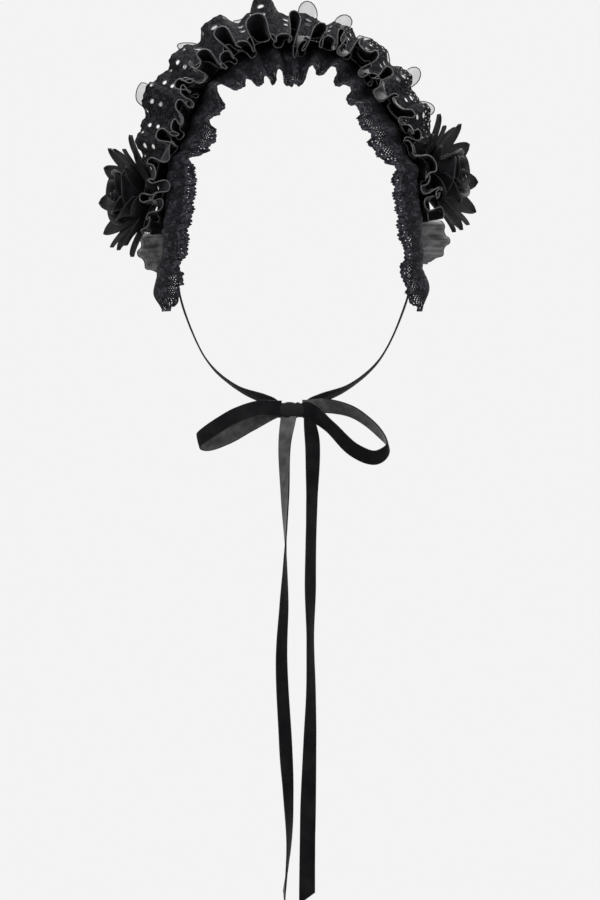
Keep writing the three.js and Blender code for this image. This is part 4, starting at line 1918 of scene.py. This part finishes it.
STRAP_ROUTE = [
    StrapStep(0, 0, 0, 1, 0, 0),
    StrapStep(0.02, 0.127, 0.27, 1, 0, 0.05),
    StrapStep(0.084, 0.229, 0.42, 0.97, 0, 0.2),
    StrapStep(0.25, 0.446, 0.657, 0.85, 0.05, 0.5),
    StrapStep(0.395, 0.61, 0.78, 0.7, 0.1, 0.7),
    StrapStep(0.625, 0.79, 0.89, 0.45, 0.3, 0.85),
    StrapStep(0.865, 0.917, 0.953, 0.15, 0.7, 0.7),
    StrapStep(0.95, 1, 1, 0, 1, 0.15),
    StrapStep(1, 1, 1, 0, 1, 0.15),
]
LEFT_LOOP = [
    LoopStep(0.17, 0.04, 0.02, 0, 1, 0.1),
    LoopStep(0.4, 0.12, 0.02, 0, 1, 0.35),
    LoopStep(0.7, 0.17, -0.08, 0.05, 1, 0.4),
    LoopStep(1.0, 0.13, -0.26, 0.35, 1, 0.3),
    LoopStep(1.14, 0.03, -0.38, 1, 0.1, -0.2),
    LoopStep(1.04, -0.05, -0.41, 0.4, -1, -0.5),
    LoopStep(0.8, -0.07, -0.33, 0, -1, -0.5),
    LoopStep(0.5, -0.05, -0.16, 0, -1, -0.3),
    LoopStep(0.17, -0.01, 0, 0, -1, 0),
]
RIGHT_LOOP = [
    LoopStep(0.17, -0.01, 0.03, 0, -1, 0.1),
    LoopStep(0.42, -0.06, 0.05, 0.1, -0.9, 0.5),
    LoopStep(0.75, -0.06, -0.03, 0.4, -0.7, 0.7),
    LoopStep(1.05, 0, -0.26, 0.9, -0.4, 0.4),
    LoopStep(1.17, 0.08, -0.46, 1, 0.3, -0.2),
    LoopStep(1.02, 0.14, -0.58, 0.2, 0.9, -0.5),
    LoopStep(0.76, 0.13, -0.49, -0.3, 0.9, -0.5),
    LoopStep(0.46, 0.1, -0.2, -0.4, 0.8, -0.6),
    LoopStep(0.17, 0.04, 0, 0, 1, -0.1),
]
LEFT_TAIL = [
    TailStep(0, -0.2, 0.2, 168),
    TailStep(0.05, -0.46, 0.45, 140),
    TailStep(0.16, -0.44, 0.75, 118),
    TailStep(0.27, -0.42, 0.85, 88),
    TailStep(0.38, -0.5, 0.9, 62),
    TailStep(0.5, -0.66, 0.95, 48),
    TailStep(0.68, -0.4, 1.0, 40),
    TailStep(0.78, -0.24, 1.05, 52),
    TailStep(0.88, -0.18, 1.05, 74),
    TailStep(1, -0.5, 1.1, 98),
]
RIGHT_TAIL = [
    TailStep(0.004, 1.08, 0.36, 52),
    TailStep(0.05, 1.3, 0.55, 26),
    TailStep(0.16, 1.26, 0.75, 46),
    TailStep(0.25, 1.2, 0.85, 52),
    TailStep(0.34, 1.16, 0.9, 50),
    TailStep(0.46, 1.16, 0.95, 66),
    TailStep(0.58, 1.2, 1.0, 56),
    TailStep(0.7, 1.1, 1.05, 34),
    TailStep(0.84, 1.0, 1.1, 14),
    TailStep(1, 0.95, 1.1, 2),
]


def spline_at(points: Sequence[Vector], at: float) -> Vector:
    """A place on the smooth line through some points.

    Args:
        points: the points.
        at: the share of the way, with as much for each stretch.

    Returns:
        The place, on a centripetal spline.
    """
    stretches = len(points) - 1
    i = min(int(at * stretches), stretches - 1)
    share = at * stretches - i
    p1, p2 = points[i], points[i + 1]
    p0 = points[i - 1] if i else p1 * 2 - p2
    p3 = points[i + 2] if i + 2 <= stretches else p2 * 2 - p1
    d0, d1, d2 = (max((b - a).length, 1e-7) ** 0.5 for a, b in ((p0, p1), (p1, p2), (p2, p3)))
    start = ((p1 - p0) / d0 - (p2 - p0) / (d0 + d1) + (p2 - p1) / d1) * d1
    end = ((p2 - p1) / d1 - (p3 - p1) / (d1 + d2) + (p3 - p2) / d2) * d1
    cubic = p1 * 2 - p2 * 2 + start + end
    square = p2 * 3 - p1 * 3 - start * 2 - end
    return ((cubic * share + square) * share + start) * share + p1


@dataclass(frozen=True)
class VelvetRibbon:
    """Velvet ribbon with a satin back, run along stations."""

    name: str
    node: str
    stations: Sequence[Station]
    held: Held
    width: float = 0.01
    wall: float = 0.0009
    cut: float = 0.0
    crown: float = 0.0003
    ripple: float = 0.0002
    step: float = 0.0012
    rows: tuple[float, ...] = (0, 0.04, 0.2, 0.4, 0.6, 0.8, 0.96, 1)

    def place(self, u: float, v: float) -> Vector:
        """A point of the ribbon.

        Args:
            u: how far along it, from 0 to 1.
            v: how far across it, from 0 to 1.

        Returns:
            The place.
        """
        near = 1e-3
        points = [station.place for station in self.stations]
        here = spline_at(points, u)
        along = (spline_at(points, min(1, u + near)) - spline_at(points, max(0, u - near))).normalized()
        face = spline_at([station.face for station in self.stations], u)
        across = face.cross(along).normalized()
        outward = along.cross(across)
        bow = self.crown * (1 - (2 * v - 1) ** 2) + self.ripple * wander(u * 14, 11 + 4 * v)
        slant = self.cut * (0.5 - v) * smooth((u - 0.9) / 0.1)
        return here + across * self.width * (v - 0.5) + outward * bow + along * slant

    @cached_property
    def length(self) -> float:
        """The ribbon's length."""
        line = [self.place(u, 0.5) for u in evenly(0, 1, 300)]
        return sum((b - a).length for a, b in zip(line, line[1:]))

    def build(self, velvet: bpy.types.Material, satin: bpy.types.Material) -> bpy.types.Object:
        """Makes the ribbon.

        Args:
            velvet: the face's material.
            satin: the back's material.

        Returns:
            The ribbon.
        """

        def flat(u: float, v: float) -> Vector:
            """The place on the flat ribbon."""
            return Vector((u * self.length, v * self.width, 0))

        us = evenly(0, 1, round(self.length / self.step))
        ribbon = cloth_grid(self.name, us, self.rows, self.place, flat)
        ribbon.data.materials.append(velvet)
        ribbon.data.materials.append(satin)
        give_wall(ribbon, self.wall, back=1)
        wear(ribbon, self.node, "velvet")
        return (ribbon, self.length)[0]


@dataclass(frozen=True)
class Bow:
    """The tying ribbons, the bow's loops and knot, and the tails."""

    ribbon: float = 0.01
    knot_long: float = 0.017
    knot_deep: float = 0.009
    knot_tall: float = 0.0115
    knot_at: Vector = field(default_factory=lambda: Vector((0.0036, -0.082, -0.2466)))
    reach: float = 0.052
    straight: float = 0.07
    tail: float = 0.302
    tail_cut: float = 0.0075
    tail_below: float = 0.0004
    tail_tuck: float = 0.001
    overlap: float = 0.014
    tucked: float = 0.002
    knot_roundness: float = 0.7
    grooves: tuple[tuple[float, float], ...] = ((-0.5, 0.08), (0.05, 0.13), (0.45, 0.09))
    groove_width: float = 0.09
    groove_slant: float = 0.08

    def strap(self, side: Side) -> VelvetRibbon:
        """The ribbon from the band's end to the knot.

        Args:
            side: which end of the band.

        Returns:
            The ribbon, not yet made.
        """
        sign = side.value
        out = BAND.wall + BAND.seam_gap + BAND.cloth_wall / 2 - CROWN.fall(-self.ribbon / 2)
        start = CROWN.point(sign * BAND.half_length, 0, out)
        aside = sign * (self.knot_long / 2 - self.tucked)
        level = 0.3 * self.knot_tall - 0.25 * self.ribbon
        end = self.knot_at + Vector((aside, self.knot_deep / 2 - BAND.cloth_wall, level))
        sewn_on = CROWN.point(sign * (BAND.half_length - self.overlap), 0, out)
        stations = [Station(sewn_on, Vector((sign, 0, 0)))]
        for step in STRAP_ROUTE:
            shares = (step.across, step.forward, step.drop)
            place = Vector([mix(a, b, share) for a, b, share in zip(start, end, shares)])
            stations.append(Station(place, Vector((sign * step.out, -step.front, -step.down))))
        return VelvetRibbon(f"tie_ribbon_{side.word}", f"ribbon_{side.word}", stations, Held.STRETCHED)

    def loop(self, side: Side, steps: Sequence[LoopStep]) -> VelvetRibbon:
        """One loop of the bow.

        Args:
            side: which side of the knot.
            steps: the loop's way from the knot and back.

        Returns:
            The ribbon, not yet made.
        """
        sign = side.value
        nearest = (self.knot_long / 2 - self.tucked) / self.reach
        first, last = (step._replace(out=nearest + self.straight) for step in (steps[0], steps[-1]))
        run = [first._replace(out=nearest), first, *steps[1:-1], last, last._replace(out=nearest)]
        stations = [
            Station(
                self.knot_at + Vector((sign * step.out, -step.front, step.up)) * self.reach,
                Vector((sign * step.face_out, -step.face_front, step.face_up)),
            )
            for step in run
        ]
        return VelvetRibbon(f"loop_ribbon_{side.word}", f"bow_loop_{side.word}", stations, Held.FOLDED)

    def tail_ribbon(self, side: Side, steps: Sequence[TailStep]) -> VelvetRibbon:
        """One hanging end of the ribbon.

        Args:
            side: which of the two.
            steps: its way down from the knot.

        Returns:
            The ribbon, not yet made.
        """
        top = self.knot_at + Vector((0, 0, -self.knot_tall / 2 - BAND.seam_gap - self.tail_below))
        stations = []
        for step in steps:
            turn = math.radians(step.turn)
            off = Vector((step.aside * self.ribbon, -step.forward * self.ribbon, -step.down * self.tail))
            stations.append(Station(top + off, Vector((math.sin(turn), -math.cos(turn), 0))))
        stations[0] = stations[0]._replace(place=stations[0].place + UP * (self.tucked + self.tail_tuck))
        return VelvetRibbon(
            f"tail_ribbon_{side.word}", f"tail_{side.word}", stations, Held.HUNG, cut=self.tail_cut
        )

    def build_knot(self, velvet: bpy.types.Material) -> bpy.types.Object:
        """Makes the knot, a ribbon wrapped over and drawn tight.

        Args:
            velvet: its material.

        Returns:
            The knot.
        """
        only()
        lying = (0, math.pi / 2, 0)
        bpy.ops.mesh.primitive_uv_sphere_add(segments=64, ring_count=48, radius=1, rotation=lying)
        knot = name_it(bpy.context.active_object, "knot_wrap")
        bpy.ops.object.transform_apply(location=False, rotation=True, scale=False)
        for vertex in knot.data.vertices:
            x, y, z = vertex.co
            boxy = [math.copysign(abs(c) ** self.knot_roundness, c) for c in (x, y, z)]
            size = max(abs(boxy[1]), abs(boxy[2]))
            turn = math.atan2(boxy[2], boxy[1])
            drawn = 0.0
            for at, depth in self.grooves:
                away = (x - at - self.groove_slant * math.sin(turn)) / self.groove_width
                drawn += depth * math.exp(-(away**2))
            waist = 1 - 0.1 * (1 - x * x) * abs(math.sin(turn)) - drawn * min(1.0, size)
            vertex.co = self.knot_at + Vector(
                (
                    boxy[0] * self.knot_long / 2,
                    boxy[1] * self.knot_deep / 2 * waist,
                    boxy[2] * self.knot_tall / 2 * waist,
                )
            )
        bpy.ops.object.shade_smooth()
        return wear(knot, "bow_knot", "velvet", velvet)

    def build(self, velvet: bpy.types.Material, satin: bpy.types.Material) -> None:
        """Makes the ribbons, the loops, the knot and the tails.

        Args:
            velvet: the ribbon's face.
            satin: the ribbon's back.
        """
        self.build_knot(velvet)
        for side in Side:
            self.strap(side).build(velvet, satin)
        self.loop(Side.LEFT, LEFT_LOOP).build(velvet, satin)
        self.loop(Side.RIGHT, RIGHT_LOOP).build(velvet, satin)
        self.tail_ribbon(Side.LEFT, LEFT_TAIL).build(velvet, satin)
        self.tail_ribbon(Side.RIGHT, RIGHT_TAIL).build(velvet, satin)


# Studio


@dataclass(frozen=True)
class Studio:
    """The camera at the photograph's angle, soft lights and seamless pale paper."""

    distance: float = 1.75
    aside: float = 0.0087
    level: float = -0.272
    lens: float = 105
    film: float = 36
    floor: float = -0.68
    radius: float = 3.4
    wall: float = 4.2
    cove: float = 1.4
    aim_level: float = -0.2
    sky: float = 0.9

    def build_camera(self) -> None:
        """Makes the camera."""
        stand = (self.aside, -self.distance, self.level)
        bpy.ops.object.camera_add(location=stand, rotation=(math.pi / 2, 0, 0))
        camera = bpy.context.active_object
        camera.data.lens = self.lens
        camera.data.sensor_fit = "VERTICAL"
        camera.data.sensor_height = self.film
        bpy.context.scene.camera = camera

    def build_light(self, name: str, place: tuple[float, float, float], size: float, watts: float) -> None:
        """Makes a soft light that looks at the headdress.

        Args:
            name: its name.
            place: where it stands.
            size: the side of its square face.
            watts: its strength.
        """
        aim = Vector((0, 0, self.aim_level)) - Vector(place)
        turn = aim.to_track_quat("-Z", "Y").to_euler()
        bpy.ops.object.light_add(type="AREA", location=place, rotation=turn)
        light = name_it(bpy.context.active_object, name)
        light.data.size = size
        light.data.energy = watts

    def build_paper(self) -> None:
        """Makes the paper, a round floor whose edge curves up into a wall."""
        only()
        bpy.ops.mesh.primitive_cylinder_add(
            vertices=96, radius=self.radius, depth=self.wall, location=(0, 0, self.floor + self.wall / 2)
        )
        paper = name_it(bpy.context.active_object, "paper")
        bpy.ops.object.transform_apply(location=True, rotation=False, scale=False)
        for face in paper.data.polygons:
            face.select = face.center.z > self.floor + self.wall * 0.9
        bpy.ops.object.mode_set(mode="EDIT")
        bpy.ops.mesh.delete(type="FACE")
        bpy.ops.object.mode_set(mode="OBJECT")
        for edge in paper.data.edges:
            edge.select = all(paper.data.vertices[i].co.z < self.floor + 0.01 for i in edge.vertices)
        bpy.ops.object.mode_set(mode="EDIT")
        bpy.ops.mesh.select_mode(type="EDGE")
        bpy.ops.mesh.bevel(offset=self.cove, segments=16, affect="EDGES")
        bpy.ops.mesh.select_all(action="SELECT")
        bpy.ops.mesh.flip_normals()
        bpy.ops.object.mode_set(mode="OBJECT")
        bpy.ops.object.shade_smooth()
        paper.data.materials.append(PalePaper().material("paper"))

    def build(self) -> None:
        """Makes the whole studio."""
        self.build_camera()
        self.build_light("key light", (-1.3, -1.9, 1.1), 1.6, 62)
        self.build_light("fill light", (1.7, -1.5, 0.3), 1.6, 34)
        self.build_light("top light", (0.2, 0.3, 1.9), 1.8, 44)
        self.build_light("back light", (0.4, 2.2, 0.6), 2.0, 40)
        world = bpy.context.scene.world or bpy.data.worlds.new("studio")
        bpy.context.scene.world = world
        world.use_nodes = True
        background = world.node_tree.nodes["Background"]
        background.inputs["Color"].default_value = (1, 1, 1, 1)
        background.inputs["Strength"].default_value = self.sky
        bpy.context.scene.view_settings.view_transform = "Standard"
        self.build_paper()


def main() -> None:
    """Builds the studio and the headdress in order."""
    logging.basicConfig(level=logging.INFO, format="%(message)s")
    Studio().build()
    BAND.build()
    LACE.build()
    satin = SatinCloth().material("frill satin")
    rolled = ThreadFinish(rough=0.32).material("rolled hem")
    SatinFrill().build(satin, rolled)
    under_frill = SatinFrill(
        "under_frill", width=0.029, fullness=1.85, lift=0.0007, clearance=2, swing=0.72, lane=20
    )
    under_frill.build(satin, rolled)
    EYELETS.build()
    SheerFrill().build()
    felt = CottonCloth(thread_mm=0.7).material("felt")
    petal_cloth = PetalCloth().material("petal cloth")
    rose_satin = SatinCloth(rough=0.42, sheen=0.16).material("rose satin")
    Flower(Side.LEFT, before_end=0.01, lift=0.015).build(felt, petal_cloth, rose_satin)
    Flower(Side.RIGHT, before_end=0.015, lift=0.009).build(felt, petal_cloth, rose_satin)
    velvet = VelvetPile().material("velvet")
    ribbon_back = SatinCloth(dark=(0.022, 0.022, 0.0225), pale=(0.05, 0.05, 0.051), rough=0.4)
    Bow().build(velvet, ribbon_back.material("ribbon back"))


if __name__ == "__main__":
    main()
